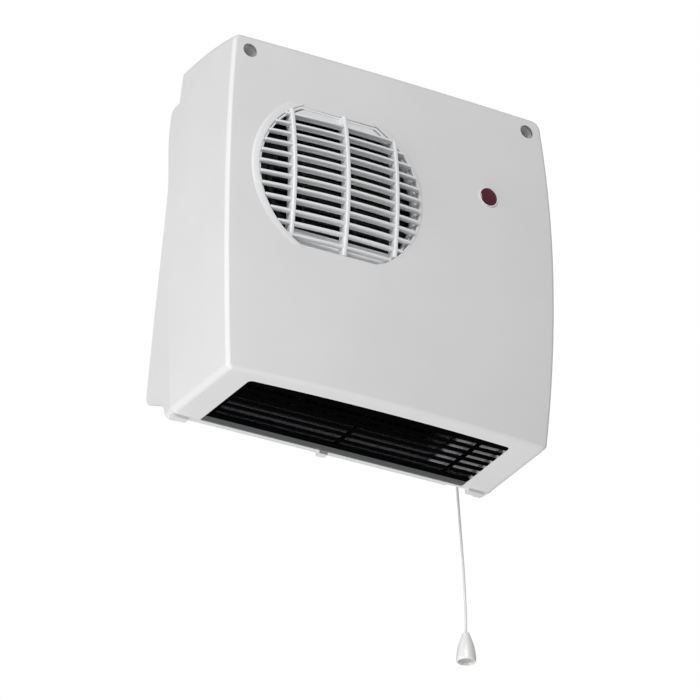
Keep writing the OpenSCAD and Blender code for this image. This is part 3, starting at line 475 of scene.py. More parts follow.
def grain_group():
    """Fine spark-eroded grain of a moulding tool, with slow waves under it."""
    g = group(
        "moulding_grain",
        [VECTOR, ("Fine", "NodeSocketFloat", 2600.0), ("Wave", "NodeSocketFloat", 35.0)],
        [("Height", "NodeSocketFloat"), ("Sheen", "NodeSocketFloat")],
    )
    i, o = g.nodes["in"], g.nodes["out"]
    fine = noise(g, i.outputs[0], i.outputs[1], 3.0)
    wave = noise(g, i.outputs[0], i.outputs[2], 2.0)
    g.links.new(maths(g, "MULTIPLY_ADD", fine, 0.35, wave), o.inputs[0])
    g.links.new(wave, o.inputs[1])
    return g


def tone_group():
    """Slow clouding of a colour over a piece, from 0 to 1, with a few fine specks."""
    g = group(
        "cloudy_tone",
        [VECTOR, ("Cloud", "NodeSocketFloat", 12.0), ("Speck", "NodeSocketFloat", 700.0)],
        [("Tone", "NodeSocketFloat"), ("Specks", "NodeSocketFloat")],
    )
    i, o = g.nodes["in"], g.nodes["out"]
    cloud = noise(g, i.outputs[0], i.outputs[1], 4.0, 0.6)
    speck = add(g, "ShaderNodeTexVoronoi", {"Vector": i.outputs[0], "Scale": i.outputs[2]})
    g.links.new(ramp(g, cloud, 0.3, 0.7), o.inputs[0])
    g.links.new(ramp(g, speck.outputs["Distance"], 0.0, 0.12, 1.0, 0.0), o.inputs[1])
    return g


def dust_group():
    """Dust that settles on faces that look up."""
    g = group(
        "settled_dust",
        [VECTOR, ("Amount", "NodeSocketFloat", 0.5)],
        [("Mask", "NodeSocketFloat")],
    )
    i, o = g.nodes["in"], g.nodes["out"]
    normal = add(g, "ShaderNodeNewGeometry")
    parts = add(g, "ShaderNodeSeparateXYZ", {0: normal.outputs["Normal"]})
    up = ramp(g, parts.outputs[2], 0.45, 0.95)
    patch = ramp(g, noise(g, i.outputs[0], 90.0, 5.0, 0.7), 0.35, 0.75)
    g.links.new(maths(g, "MULTIPLY", maths(g, "MULTIPLY", up, patch), i.outputs[1]), o.inputs[0])
    return g


def streak_group():
    """Long fine streaks, as rolling or brushing leaves them; the vector is stretched first."""
    g = group(
        "streaks",
        [
            VECTOR,
            ("Stretch", "NodeSocketVector", (1.0, 1.0, 1.0)),
            ("Scale", "NodeSocketFloat", 900.0),
        ],
        [("Streak", "NodeSocketFloat")],
    )
    i, o = g.nodes["in"], g.nodes["out"]
    links = {0: i.outputs[0], 1: i.outputs[1]}
    scaled = add(g, "ShaderNodeVectorMath", links, operation="MULTIPLY")
    g.links.new(noise(g, scaled.outputs[0], i.outputs[2], 4.0, 0.65), o.inputs[0])
    return g


def layer_group():
    """Even layers, such as laminations or turns of wire, along the X of the vector."""
    g = group(
        "layers",
        [VECTOR, ("Pitch", "NodeSocketFloat", 0.0005)],
        [("Height", "NodeSocketFloat"), ("Gap", "NodeSocketFloat")],
    )
    i, o = g.nodes["in"], g.nodes["out"]
    parts = add(g, "ShaderNodeSeparateXYZ", {0: i.outputs[0]})
    angle = maths(g, "MULTIPLY", maths(g, "DIVIDE", parts.outputs[0], i.outputs[1]), math.pi)
    height = maths(g, "ABSOLUTE", maths(g, "SINE", angle))
    g.links.new(height, o.inputs[0])
    g.links.new(ramp(g, height, 0.0, 0.35, 1.0, 0.0), o.inputs[1])
    return g


GRAIN, TONE, DUST = grain_group(), tone_group(), dust_group()
STREAK, LAYER = streak_group(), layer_group()


def use(tree, made, links):
    """Outputs of a node group placed in a material."""
    return add(tree, "ShaderNodeGroup", links, node_tree=made).outputs


def blend(tree, share, first, last):
    """A colour between two, each a socket or a red, green and blue."""
    ends = [end if isinstance(end, bpy.types.NodeSocket) else (*end, 1.0) for end in (first, last)]
    links = {0: share, 6: ends[0], 7: ends[1]}
    return add(tree, "ShaderNodeMix", links, data_type="RGBA").outputs[2]


def with_inputs(made, **values):
    """Set inputs of a material's shader, named with underscores for spaces."""
    for key, value in values.items():
        made.node_tree.nodes["Principled BSDF"].inputs[key.replace("_", " ")].default_value = value
    return made


def new_finish(name, **values):
    """A plain material, with some of its shader's inputs set."""
    made = bpy.data.materials.new(name)
    made.use_nodes = True
    return with_inputs(made, **values)


DUST_COLOUR = (0.55, 0.53, 0.49)
# Shares of the deeper tone in specks and in the gaps between layers
SPECK_SHADE, GAP_SHADE = 0.55, 0.3
# How far the sheen takes the roughness down and up
WEAR = (-0.06, 0.08)


def finish_of(
    name, tone, deep, rough, metallic=0.0, grain=0.3, fine=2600.0, dust=0.0, coat=0.0,
    stretch=None, layers=None, cloud=12.0, speck=0.0, bump_mm=0.03, specular=0.5,
):
    """A material: a clouded colour, worn sheen, moulding grain or streaks or layers, and dust."""
    made = new_finish(name, Metallic=metallic, Coat_Weight=coat, Specular_IOR_Level=specular)
    tree = made.node_tree
    shader = tree.nodes["Principled BSDF"]
    place = add(tree, "ShaderNodeTexCoord").outputs["Object"]
    tones = use(tree, TONE, {"Vector": place, "Cloud": cloud})
    colour = blend(tree, tones["Tone"], tone, deep)
    if speck:
        share = maths(tree, "MULTIPLY", tones["Specks"], speck)
        colour = blend(tree, share, colour, [c * SPECK_SHADE for c in deep])
    grained = use(tree, GRAIN, {"Vector": place, "Fine": fine})
    height, sheen = grained["Height"], grained["Sheen"]
    if stretch:
        height = sheen = use(tree, STREAK, {"Vector": place, "Stretch": stretch})["Streak"]
    if layers:
        turn, pitch = layers
        turned_to = add(tree, "ShaderNodeMapping", {"Vector": place, "Rotation": turn})
        layered = use(tree, LAYER, {"Vector": turned_to.outputs[0], "Pitch": pitch})
        height = layered["Height"]
        colour = blend(tree, layered["Gap"], colour, [c * GAP_SHADE for c in deep])
    if dust:
        settled = use(tree, DUST, {"Vector": place, "Amount": dust})["Mask"]
        colour = blend(tree, settled, colour, DUST_COLOUR)
    tree.links.new(colour, shader.inputs["Base Color"])
    worn = ramp(tree, sheen, 0.25, 0.75, rough + WEAR[0], rough + WEAR[1])
    tree.links.new(worn, shader.inputs["Roughness"])
    links = {"Strength": grain, "Distance": bump_mm * MM, "Height": height}
    bump = add(tree, "ShaderNodeBump", links)
    tree.links.new(bump.outputs[0], shader.inputs["Normal"])
    return made


white_moulding = finish_of(
    "white_moulding", (0.79, 0.79, 0.80), (0.755, 0.757, 0.765), 0.42, grain=0.25, dust=0.12,
)
grille_moulding = finish_of(
    "grille_moulding", (0.83, 0.84, 0.85), (0.79, 0.80, 0.81), 0.38, grain=0.2, dust=0.25,
    fine=3200.0,
)
black_moulding = finish_of(
    "black_moulding", (0.0014, 0.0014, 0.0016), (0.0025, 0.0025, 0.003), 0.55, grain=0.3, dust=0.0,
    specular=0.0,
)
grey_strip = finish_of(
    "grey_strip", (0.085, 0.088, 0.09), (0.07, 0.073, 0.076), 0.32, grain=0.15, coat=0.25, dust=0.1,
)
# Fan housing: a grey moulding, made lighter so faint lines show through the outlet slots; that lift is a painted sheen
duct_grey_and_painted_sheen = finish_of(
    "duct_moulding_and_painted_sheen", (0.2, 0.205, 0.21), (0.16, 0.165, 0.17), 0.5, grain=0.3, dust=0.2,
)
# Inlet plate and impeller near-black, as dark as the inside looks behind the grille
inner_black = finish_of(
    "inner_near_black", (0.012, 0.012, 0.013), (0.02, 0.02, 0.021), 0.55, grain=0.3, dust=0.08,
    specular=0.3,
)
guard_wire = finish_of(
    "guard_wire", (0.012, 0.013, 0.014), (0.008, 0.009, 0.01), 0.45, grain=0.3, dust=0.02,
    specular=0.2,
)
inner_moulding = finish_of(
    "inner_moulding", (0.56, 0.57, 0.58), (0.48, 0.49, 0.5), 0.5, grain=0.3, dust=0.5,
)
zinc_steel = finish_of(
    "zinc_steel", (0.62, 0.63, 0.65), (0.5, 0.52, 0.55), 0.36, 1.0, stretch=(1.0, 0.06, 1.0),
    grain=0.15,
)
ground_steel = finish_of(
    "ground_steel", (0.68, 0.68, 0.7), (0.6, 0.6, 0.62), 0.24, 1.0, stretch=(0.2, 3.0, 0.2),
    grain=0.12,
)
laminated_steel = finish_of(
    "laminated_steel", (0.22, 0.23, 0.26), (0.15, 0.16, 0.19), 0.45, 0.8,
    layers=((0, 0, math.pi / 2), 0.0005), grain=0.5,
)
copper_winding = finish_of(
    "copper_winding", (0.62, 0.24, 0.08), (0.5, 0.17, 0.05), 0.3, 0.9,
    layers=((0, 0, 0), 0.0004), grain=0.8, bump_mm=0.12,
)
nylon = finish_of("nylon", (0.75, 0.73, 0.64), (0.68, 0.65, 0.55), 0.5, grain=0.3, speck=0.1)
plain_brass = finish_of(
    "plain_brass", (0.74, 0.56, 0.24), (0.62, 0.45, 0.17), 0.28, 1.0, stretch=(0.3, 2.0, 0.3),
    grain=0.12,
)
# Mica boards made near-black over their brown: painted shade of the unlit duct behind the outlet slots
mica_board_painted_shade = finish_of(
    "mica_board_painted_shade", (0.05, 0.043, 0.032), (0.03, 0.025, 0.018), 0.5, grain=0.5, speck=0.6,
    cloud=60.0, coat=0.15,
)
# Element ribbons made near-black: painted shade of the unlit duct behind the outlet slots
ribbon_metal_painted_shade = finish_of(
    "ribbon_metal_painted_shade", (0.05, 0.045, 0.045), (0.03, 0.027, 0.028), 0.55, 1.0, stretch=(1.0, 1.0, 0.1),
    grain=0.3, cloud=90.0,
)
phenolic = finish_of(
    "phenolic", (0.02, 0.015, 0.013), (0.035, 0.025, 0.02), 0.34, grain=0.3, speck=0.2,
)
terminal_nylon = finish_of("terminal_nylon", (0.78, 0.78, 0.7), (0.7, 0.7, 0.61), 0.42, grain=0.25)
black_rubber = finish_of(
    "black_rubber", (0.018, 0.018, 0.018), (0.03, 0.03, 0.03), 0.7, grain=0.5, dust=0.3,
)
switch_moulding = finish_of(
    "switch_moulding", (0.78, 0.78, 0.76), (0.72, 0.72, 0.69), 0.3, grain=0.2,
)
red_acetal = finish_of("red_acetal", (0.5, 0.05, 0.035), (0.4, 0.035, 0.025), 0.34, grain=0.25)
pull_moulding = finish_of(
    "pull_moulding", (0.82, 0.82, 0.81), (0.77, 0.77, 0.75), 0.24, grain=0.12, coat=0.2,
)
red_lens = with_inputs(
    finish_of("red_lens", (0.1, 0.008, 0.024), (0.07, 0.005, 0.016), 0.14, grain=0.05, coat=0.8),
    Coat_Roughness=0.04,
)
glass_lamp = with_inputs(
    finish_of("lamp_glass", (0.95, 0.72, 0.6), (0.9, 0.6, 0.5), 0.08, grain=0.05),
    Transmission_Weight=0.8,
    IOR=1.5,
)


def braid_finish():
    """White braided cord: two sets of crossing strands along the cord's own UV."""
    made = new_finish("braided_cord", Roughness=0.72, Sheen_Weight=0.25)
    tree = made.node_tree
    shader = tree.nodes["Principled BSDF"]
    uv = add(tree, "ShaderNodeUVMap", uv_map="along")
    parts = add(tree, "ShaderNodeSeparateXYZ", {0: uv.outputs[0]})
    strands = []
    for side in (1.0, -1.0):
        around = maths(tree, "MULTIPLY", parts.outputs[0], 4.0 * math.pi * side)
        both = maths(tree, "MULTIPLY_ADD", parts.outputs[1], 2.0 * math.pi, around)
        strands.append(maths(tree, "SINE", both))
    height = ramp(tree, maths(tree, "MULTIPLY", *strands), -1.0, 1.0)
    colour = blend(tree, height, (0.66, 0.66, 0.65), (0.85, 0.85, 0.84))
    tree.links.new(colour, shader.inputs["Base Color"])
    bump = add(tree, "ShaderNodeBump", {"Strength": 0.6, "Distance": 0.15 * MM, "Height": height})
    tree.links.new(bump.outputs[0], shader.inputs["Normal"])
    return made


braid = braid_finish()

# ---- Pull cord ------------------------------------------------------------------------------

# Middle of the cord at its upper end in the switch, and its radius
CORD_X, CORD_Y, STEM_Z, CORD_R = 95.5, 79.5, 32.5, 0.8
# Drop to the pull, length along the cord, and length of one turn of the braid
CORD_DROP, CORD_LENGTH, BRAID_PITCH = 132.6, 132.8, 1.2
# Sideways drift of the cord at each step down
DRIFT_STEP = 4.0
DRIFT = [
    0, 0, 0, 0, 0, 0.1, 0.3, 0.5, 0.7, 0.9, 1.2, 1.5, 1.8, 2.1, 2.4, 2.7, 3, 3.3, 3.6, 3.9,
    4.2, 4.5, 4.8, 5, 5.2, 5.4, 5.6, 5.8, 6, 6.1, 6.2, 6.3,
]
PULL_X, PULL_TOP = CORD_X + DRIFT[-1], STEM_Z - CORD_DROP
# Radius and height from the pull's top, down outside and up inside
BELL = [
    (0.9, 0), (1.7, 0), (2.15, -0.3), (2.4, -1), (2.9, -2.4), (3.65, -4.6), (4.7, -7.7),
    (5.6, -11.5), (6.1, -15), (6.3, -17.2), (6.3, -18.6), (6.2, -19.6), (5.95, -20), (5.4, -20),
    (5.1, -19.6), (5.0, -18), (4.4, -14), (3.2, -9.8), (2.2, -6.6), (1.6, -6), (0.9, -6),
]
KNOT = [(0, -6), (1.1, -6.1), (1.9, -6.9), (2.0, -7.9), (1.5, -8.8), (0.7, -9.4), (0, -9.5)]


def make_cord():
    """A fine round cord swept down its hanging route, with a map along it for the braid."""
    route = [Vector((CORD_X + d, CORD_Y, STEM_Z - DRIFT_STEP * k)) for k, d in enumerate(DRIFT)]
    route.append(Vector((PULL_X, CORD_Y, PULL_TOP)))
    clear_bench()
    bpy.ops.mesh.primitive_circle_add(
        vertices=12, radius=CORD_R * MM, fill_type="NGON", location=route[0] * MM
    )
    cord = name_it("pull_cord_braided")
    for here, there in zip(route, route[1:]):

        def is_lower_end(_, face):
            off = face.calc_center_median().z / MM - here.z
            return abs(off) < 0.01 and abs(face.normal.z) > 0.9

        choose(cord, "FACE", is_lower_end)
        bpy.ops.mesh.extrude_region_move(TRANSFORM_OT_translate={"value": (there - here) * MM})
        leave()
    tidy(cord, 0.001)
    uv = cord.data.uv_layers.new(name="along")
    for face in cord.data.polygons:
        for loop in face.loop_indices:
            place = cord.data.vertices[cord.data.loops[loop].vertex_index].co / MM
            middle = min(route, key=lambda p: abs(p.z - place.z))
            turn = math.atan2(place.y - CORD_Y, place.x - middle.x) / (2 * math.pi) % 1.0
            uv.data[loop].uv = (turn, (STEM_Z - place.z) / BRAID_PITCH)
    hand_over(into_place(smooth(cord, 60)), "pull", "cord_fabric", braid, "pull_cord")
    path = [(p - Vector((0, WALL_Y, MOUNT_Z))) * MM for p in route]
    return cord, path


def make_pull():
    """The hollow bell-shaped pull with its rounded shoulder and open foot, and the knot in it."""
    pieces = []
    for name, profile, sides, angle in (
        ("cord_pull_bell", BELL, 56, 40),
        ("cord_knot", KNOT, 24, 60),
    ):
        placed = [(r, PULL_TOP + z) for r, z in profile]
        pieces.append(smooth(spin(name, placed, (PULL_X, CORD_Y), "Z", sides), angle))
    pull = into_place(join(pieces, "cord_pull_bell"))
    hand_over(pull, "pull", "pull_plastic", pull_moulding, "cord_pull")
    return pull


cord, cord_path = make_cord()
pull = make_pull()
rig.cord(
    cord, exit=cord_path[0], length=CORD_LENGTH * MM, diameter=2 * CORD_R * MM, far_end="fitting",
    stiffness="limp", lay="hanging", path=cord_path, with_pieces=[pull],
)

# ---- Casing ---------------------------------------------------------------------------------

# The face: height, half width, bow of its sides at the top and at the foot, and draft low down
FACE_H, HALF_W, SIDE_BOW, LOW_BOW, LOW_DRAFT = 236.0, 120.0, 6.5, 5.0, 2.0
# Swell of the face up its middle, its crown across at the top and the foot, and the depth behind
# the side edges at which both have faded out
BULGE, CROWN_TOP, CROWN_LOW, FADE_Y = 4.5, 2.0, 5.5, 24.0
# Rise of the top panel to the rear and the power of its curve
TOP_RISE, TOP_CURVE = 9.0, 2.3
# Underside: its place below the datum at the front, its further drop to the rear, and its angle
COVER_D, LOW_FRONT, LOW_DROP = 70.0, 2.0, 1.0
LOW_ANGLE = math.atan(LOW_DROP / COVER_D)
EDGE_R, TOP_CORNER_R, LOW_CORNER_R, WALL_T, INNER_EDGE_R = 2.6, 6.0, 4.0, 2.5, 0.6
# How far the cover laps the back plate, and the rounding of its edges
LAP, COVER_SOFT = 0.25, 0.45
# Intake: its middle, radius, and half height between its flats
AXIS_X, AXIS_Z, INTAKE_R, INTAKE_FLAT = -40.4, 142.5, 57.5, 50.5
# Screws: place, bore, depth and thickness of the seat; bore, wall and front end of the tube
SCREW_X, SCREW_Z, SCREW_BORE_R, SCREW_SEAT, SEAT_T = 102.7, 225.4, 1.95, 54.0, 3.0
RECESS_R, TUBE_T, TUBE_SINK = 5.0, 2.0, 1.2
LENS_X, LENS_Z, LENS_R, LENS_GAP = 69.7, 165.0, 6.2, 0.6
# Outlet in the plane of the underside: its box, slant of its ends and bow of its front
OUTLET_X0, OUTLET_X1, OUTLET_Y0, OUTLET_Y1, OUTLET_BOW = -96.0, 94.0, 8.5, 67.5, 3.0
OUTLET_SLANT, OUTLET_CORNER_R = 1.3, 3.0
# The shelf over the outlet's right end, and its wall beyond that end
LEDGE_X0, LEDGE_X1, LEDGE_Y, LEDGE_Z, LEDGE_T = 64.0, OUTLET_X1 + 3, (10.5, 64.0), 6.0, 1.5
# Spans of the tools that cut the intake, the round holes of the face, and the underside
INTAKE_CUT, PIERCE_Y, PIERCE_Z = (-16, 6), (-14, 6), (-8, 8)


def unit(value):
    """A number held between 0 and 1."""
    return min(1.0, max(0.0, value))


def half_at(z, y=0.0):
    """Half width of the casing at a height and a depth."""
    t = 2 * z / FACE_H - 1
    bow = SIDE_BOW if t > 0 else LOW_BOW
    return HALF_W - bow * t * t + LOW_DRAFT * unit(y / COVER_D) * unit(-t)


def face_y(x, z):
    """Place of the face ahead of its side edges."""
    t = unit(z / FACE_H)
    crown = CROWN_LOW + (CROWN_TOP - CROWN_LOW) * t
    return -BULGE * (1 - (2 * t - 1) ** 2) - crown * (1 - unit((x / half_at(z)) ** 2))


def steps(first, last, step):
    """Even steps that reach the last place."""
    return [first + step * k for k in range(int((last - first) / step) + 1)]


# Places across X, Z and Y that divide a block finely enough to take the casing's shape
DIVISIONS = {0: steps(-110, 110, 10), 2: steps(10, 230, 10), 1: (10, 17, 24, 32, 41, 50, 60)}


def barrel(x, y, z):
    """Draw the sides in, crown the face, and slope the top and the underside."""
    back = unit(y / COVER_D)
    share = z / FACE_H
    rise = TOP_RISE * (1 - (1 - back) ** TOP_CURVE)
    new_z = z + share * rise - (1 - share) * (LOW_FRONT + LOW_DROP * back)
    new_x = x * half_at(new_z, y) / HALF_W
    fade = unit((FADE_Y - y) / (FADE_Y - EDGE_R))
    return new_x, y + face_y(new_x, z) * fade, new_z


def tilt(x, y, z):
    """From level to the slope of the underside."""
    cos, sin = math.cos(LOW_ANGLE), math.sin(LOW_ANGLE)
    return x, y * cos + z * sin, z * cos - y * sin - LOW_FRONT


def intake_solid(name, grow, y0, y1):
    """The intake's outline, cut flat at the top and the bottom, as a solid."""
    flat = INTAKE_FLAT + grow
    piece = rod(name, AXIS_X, AXIS_Z, INTAKE_R + grow, y0, y1, 128)
    return trim(piece, 2, AXIS_Z - flat, AXIS_Z + flat)


def outlet_points(inset):
    """The outlet's outline, with round front corners and a bowed front."""
    x0, x1 = OUTLET_X0 + inset, OUTLET_X1 - inset
    y0, y1 = OUTLET_Y0 + inset, OUTLET_Y1 - inset
    left, right, r = x0 + OUTLET_SLANT, x1 - OUTLET_SLANT, OUTLET_CORNER_R
    middle, half = (left + right) / 2, (right - left) / 2 - r
    turns = [math.radians(a) for a in (0, 22.5, 45, 67.5, 90)]
    corner = [(r * (1 - math.cos(a)), r * (1 - math.sin(a))) for a in turns]
    along = [k / 8 - 1 for k in range(1, 16)]
    points = [(x1, y1), (x0, y1)]
    points += [(left + a, y0 + b) for a, b in corner]
    points += [(middle + half * t, y0 - OUTLET_BOW * (1 - t**2)) for t in along]
    points += [(right - a, y0 + b) for a, b in reversed(corner)]
    return points


def outlet_solid(name, inset, z0, z1):
    """The outlet's outline as a level solid."""
    piece = outline(name, [(x, y, z0) for x, y in outlet_points(inset)])
    return draw_out(piece, 0, z1 - z0)


def barrel_block(name, inset, depth, edge):
    """A block with rounded corners and front edge, drawn into the casing's barrel shape."""
    side, low, high = HALF_W - inset, inset, FACE_H - inset
    piece = block(name, (-side, side), (inset, depth), (low, high))
    for z, radius in ((high, TOP_CORNER_R), (low, LOW_CORNER_R)):

        def runs_back(ends, _):
            return abs(ends[0].y - ends[1].y) > 1 and all(abs(p.z - z) < 0.01 for p in ends)

        choose(piece, "EDGE", runs_back)
        round_off(radius - inset, 8)
    choose(piece, "FACE", lambda _, face: face.normal.y < -0.9)
    bpy.ops.mesh.region_to_loop()
    round_off(edge, 5)
    for axis, places in DIVISIONS.items():
        slice_at(piece, axis, places)
    return shape(piece, barrel)


def make_cover():
    """The front moulding: an open-backed box, barrel-sided, hollowed, then opened and softened."""
    cover = barrel_block("front_moulding", 0, COVER_D + LAP, EDGE_R)
    carve(cover, barrel_block("hollow", WALL_T, COVER_D + 5, INNER_EDGE_R))
    carve(cover, intake_solid("intake_cut", 0, *INTAKE_CUT))
    for side in (-1, 1):
        carve(cover, rod("screw_cut", side * SCREW_X, SCREW_Z, RECESS_R, *PIERCE_Y, 48))
    carve(cover, rod("lens_cut", LENS_X, LENS_Z, LENS_R + LENS_GAP, *PIERCE_Y, 48))
    carve(cover, shape(outlet_solid("outlet_cut", 0, *PIERCE_Z), tilt))
    notch = block("rear_notch", (OUTLET_X0, OUTLET_X1), (OUTLET_Y1 - 0.5, COVER_D + 4), PIERCE_Z)
    carve(cover, shape(notch, tilt))
    tube_y = face_y(SCREW_X, SCREW_Z) + TUBE_SINK
    tube = [
        (RECESS_R, tube_y), (RECESS_R, SCREW_SEAT), (SCREW_BORE_R, SCREW_SEAT),
        (SCREW_BORE_R, SCREW_SEAT + SEAT_T), (RECESS_R + TUBE_T, SCREW_SEAT + SEAT_T),
        (RECESS_R + TUBE_T, tube_y),
    ]
    tubes = [spin("screw_tube", tube, (side * SCREW_X, SCREW_Z), steps=48) for side in (-1, 1)]
    soften(cover, COVER_SOFT, 2, 38, lambda ends: any(p.y < COVER_D - 1 for p in ends))
    shelf = block("outlet_ledge", (LEDGE_X0, LEDGE_X1), LEDGE_Y, (LEDGE_Z, LEDGE_Z + LEDGE_T))
    wall = block("ledge_wall", (LEDGE_X1 - LEDGE_T, LEDGE_X1), LEDGE_Y, (1, LEDGE_Z + 0.2))
    ledge = shape(carve(shelf, wall, "UNION"), tilt)
    cover = smooth(join([cover, *tubes, ledge], "front_moulding"), 30, True)
    hand_over(into_place(cover), "chassis", "casing", white_moulding, "front_cover")


# The lip round the intake: distance from the intake's edge and height, before it is sunk
LIP = [
    (0, -8.6), (0.25, -8.95), (0.7, -9), (2, -8.2), (3.4, -7.2), (4.6, -6.2), (5, -5.2),
    (5, -3.8), (0, -3.8),
]
# Share of the lip's height that stands out of the face at its sides, and what it loses from one
# angle to another above and below the axis
LIP_SHARE, LIP_LOSS, LOSS_FROM, LOSS_TO, LOSS_POWER = 0.28, 0.14, 15, 60, 1.3


def make_lip():
    """The bevelled lip round the intake, cut flat as the intake is, and lower near the flats."""
    lip = spin("intake_lip", [(INTAKE_R + r, y) for r, y in LIP], (AXIS_X, AXIS_Z), steps=160)

    def sink(x, y, z):
        lean = math.degrees(math.asin(unit(abs(z - AXIS_Z) / INTAKE_R)))
        loss = unit((lean - LOSS_FROM) / (LOSS_TO - LOSS_FROM)) ** LOSS_POWER
        face = face_y(x, z)
        return x, face + (y - face) * (LIP_SHARE - LIP_LOSS * loss) if y < face else y, z

    shape(lip, sink)
    edge = INTAKE_FLAT + WALL_T / 2
    smooth(trim(lip, 2, AXIS_Z - edge, AXIS_Z + edge), 35)
    hand_over(into_place(lip), "chassis", "casing", white_moulding)


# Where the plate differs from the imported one: the wings' taper behind the cover, the steps at the
# wings' tops, the edge under the top panel, and the middle foot
TAPER_Y, TAPER_RUN, WING_X, WING_SHARE = COVER_D + 3, 12.0, 105, 0.9
STEP_X, STEP_Z0, STEP_Z1, STEP_Y, STEP_DROP = 100, 218, 223, 90, 2.6
PANEL_Z, PANEL_RUN, PANEL_LIFT = 231, 5.0, 2.4
FOOT_X, FOOT_HALF, FOOT_Z, FOOT_SHIFT = -10, 3.6, 4.5, 2.4
# Rounding of its edges behind a depth
PLATE_SOFT, PLATE_SOFT_Y = 0.5, COVER_D + 1.5


def fit_plate(x, y, z):
    """Draw the wings in at their feet and lower their tops; lift the plate under the top panel."""
    depth, height = y + WALL_Y, z + MOUNT_Z
    low = max(0.0, 1 - 2 * height / FACE_H)
    if abs(x) > WING_X:
        x -= math.copysign(LOW_DRAFT * WING_SHARE * unit((depth - TAPER_Y) / TAPER_RUN) * low, x)
    if abs(x) > STEP_X and STEP_Z0 < height < STEP_Z1 and depth < STEP_Y:
        z -= STEP_DROP
    elif height > PANEL_Z:
        z += PANEL_LIFT * unit((height - PANEL_Z) / PANEL_RUN)
    if abs(x - FOOT_X) < FOOT_HALF and height < FOOT_Z and depth > COVER_D:
        x += FOOT_SHIFT
    return x, y, z


def make_plate():
    """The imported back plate, fitted to the cover and softened behind it."""
    plate = shape(copy_of("back_plate", "back_moulding"), fit_plate)
    soften(plate, PLATE_SOFT, rule=lambda ends: any(p.y + WALL_Y > PLATE_SOFT_Y for p in ends))
    smooth(plate, 28, True)
    hand_over(plate, "chassis", "casing", white_moulding, "back_plate")


make_cover()
make_lip()
make_plate()

# ---- Intake grille --------------------------------------------------------------------------

# The dome: its middle, its place there, and how much it falls off at the sides and the flat ends
DOME_X, DOME_Y, DOME_SIDE, DOME_END = -28.0, -13.3, 3.8, 5.4
# Louvres: pitch, number, thickness, depth, height of their middle, and rounding of the front
# edges, the upper and the lower
LOUVRE_PITCH, LOUVRES, LOUVRE_T, LOUVRE_D, LOUVRE_Z = 7.83, 12, 1.7, 4.0, AXIS_Z - 1.0
LOUVRE_SOFT = ((1, 0.7), (-1, 0.25))
# Beads: the circle that they end at, how far they hang below the louvre's middle, their depth, and
# the first louvre that has one
BEAD_R, BEAD_DROP, BEAD_D, BEADS_FROM = 55.2, 1.75, 0.6, 2
# Ribs: places, thickness, depth, rounding, and how far they stand ahead of the louvres
RIBS, RIB_T, RIB_D, RIB_SOFT, RIB_AHEAD = (-74.6, -37.4, -1.4), 2.8, 7.5, 0.8, 0.25
# Ends of the bars, just inside the rim
BAR_R, BAR_FLAT = 57.1, 50.1
# Offsets of the rim, the flange behind it and their bore from the intake's edge, and of the plates
RIM_OUT, FLANGE_OUT, RIM_IN, PLATE_OUT = -0.3, 2.3, -1.8, -1.3
RIM_Y0, FLANGE_Y0, RIM_Y1, RIM_SOFT = -4.8, -0.2, 1.3, 0.4
# Spans of the tools that cut the bore of the rim and of the flange
RIM_CUT, FLANGE_CUT = (-12, 3), (-3, 3)
# The plain strip above the louvres with its groove, and the plate behind the lowest louvres
TOP_Y0, TOP_Y1, GROOVE_R0, GROOVE_R1 = -4.5, -2.5, 54.6, 55.5
BAFFLE_Y0, BAFFLE_Y1, BAFFLE_TOP = -2.3, -0.8, AXIS_Z - 37.0


def dome(x, z):
    """Depth of the grille's dome, which falls off more towards its flat ends."""
    across, up = (x - DOME_X) / INTAKE_R, (z - AXIS_Z) / INTAKE_FLAT
    return DOME_Y + DOME_SIDE * across**2 + DOME_END * up**2


def reach(radius, off):
    """Half length of a bar that crosses a circle off its middle."""
    return math.sqrt(radius**2 - off**2)


def make_louvre(z):
    """One level louvre, bent to the dome, with its front edges rounded."""
    half = reach(BAR_R, z - AXIS_Z)
    ends_x, ends_z = (AXIS_X - half, AXIS_X + half), (z - LOUVRE_T / 2, z + LOUVRE_T / 2)
    bar = block("louvre", ends_x, (0, LOUVRE_D), ends_z)
    for sign, width in LOUVRE_SOFT:

        def is_front_edge(ends, _):
            return all(p.y < 0.1 and (p.z - z) * sign > LOUVRE_T / 2 - 0.05 for p in ends)

        choose(bar, "EDGE", is_front_edge)
        round_off(width, 2)
    slice_at(bar, 0, [AXIS_X + half * k / 8 for k in range(-7, 8)])
    return shape(bar, lambda x, y, h: (x, y + dome(x, z), h))


def make_bead(z):
    """The thin bead under the rear edge of a louvre, between the outer ribs."""
    half = reach(BEAD_R, z - AXIS_Z)
    x0, x1 = max(RIBS[0], AXIS_X - half), min(RIBS[2], AXIS_X + half)
    bead = block("bead", (x0, x1), (LOUVRE_D - BEAD_D, LOUVRE_D), (z - BEAD_DROP, z))
    slice_at(bead, 0, [x0 + (x1 - x0) * k / 8 for k in range(1, 8)])
    return shape(bead, lambda x, y, h: (x, y + dome(x, z), h))


def make_rib(x):
    """One upright rib, bent to the dome just ahead of the louvres."""
    half = min(BAR_FLAT, reach(BAR_R, x - AXIS_X))
    bar = block("rib", (x - RIB_T / 2, x + RIB_T / 2), (0, RIB_D), (AXIS_Z - half, AXIS_Z + half))

    def is_front_edge(ends, _):
        return all(p.y < 1 for p in ends) and abs(ends[0].z - ends[1].z) > 1

    choose(bar, "EDGE", is_front_edge)
    round_off(RIB_SOFT, 3)
    slice_at(bar, 2, [AXIS_Z + half * k / 8 for k in range(-7, 8)])
    return shape(bar, lambda h, y, z: (h, y - RIB_AHEAD + dome(x, z), z))


def intake_ring(name, outer, y0, bore):
    """A ring of the intake's outline, with the rim's bore and rear face."""
    return carve(intake_solid(name, outer, y0, RIM_Y1), intake_solid("bore", RIM_IN, *bore))


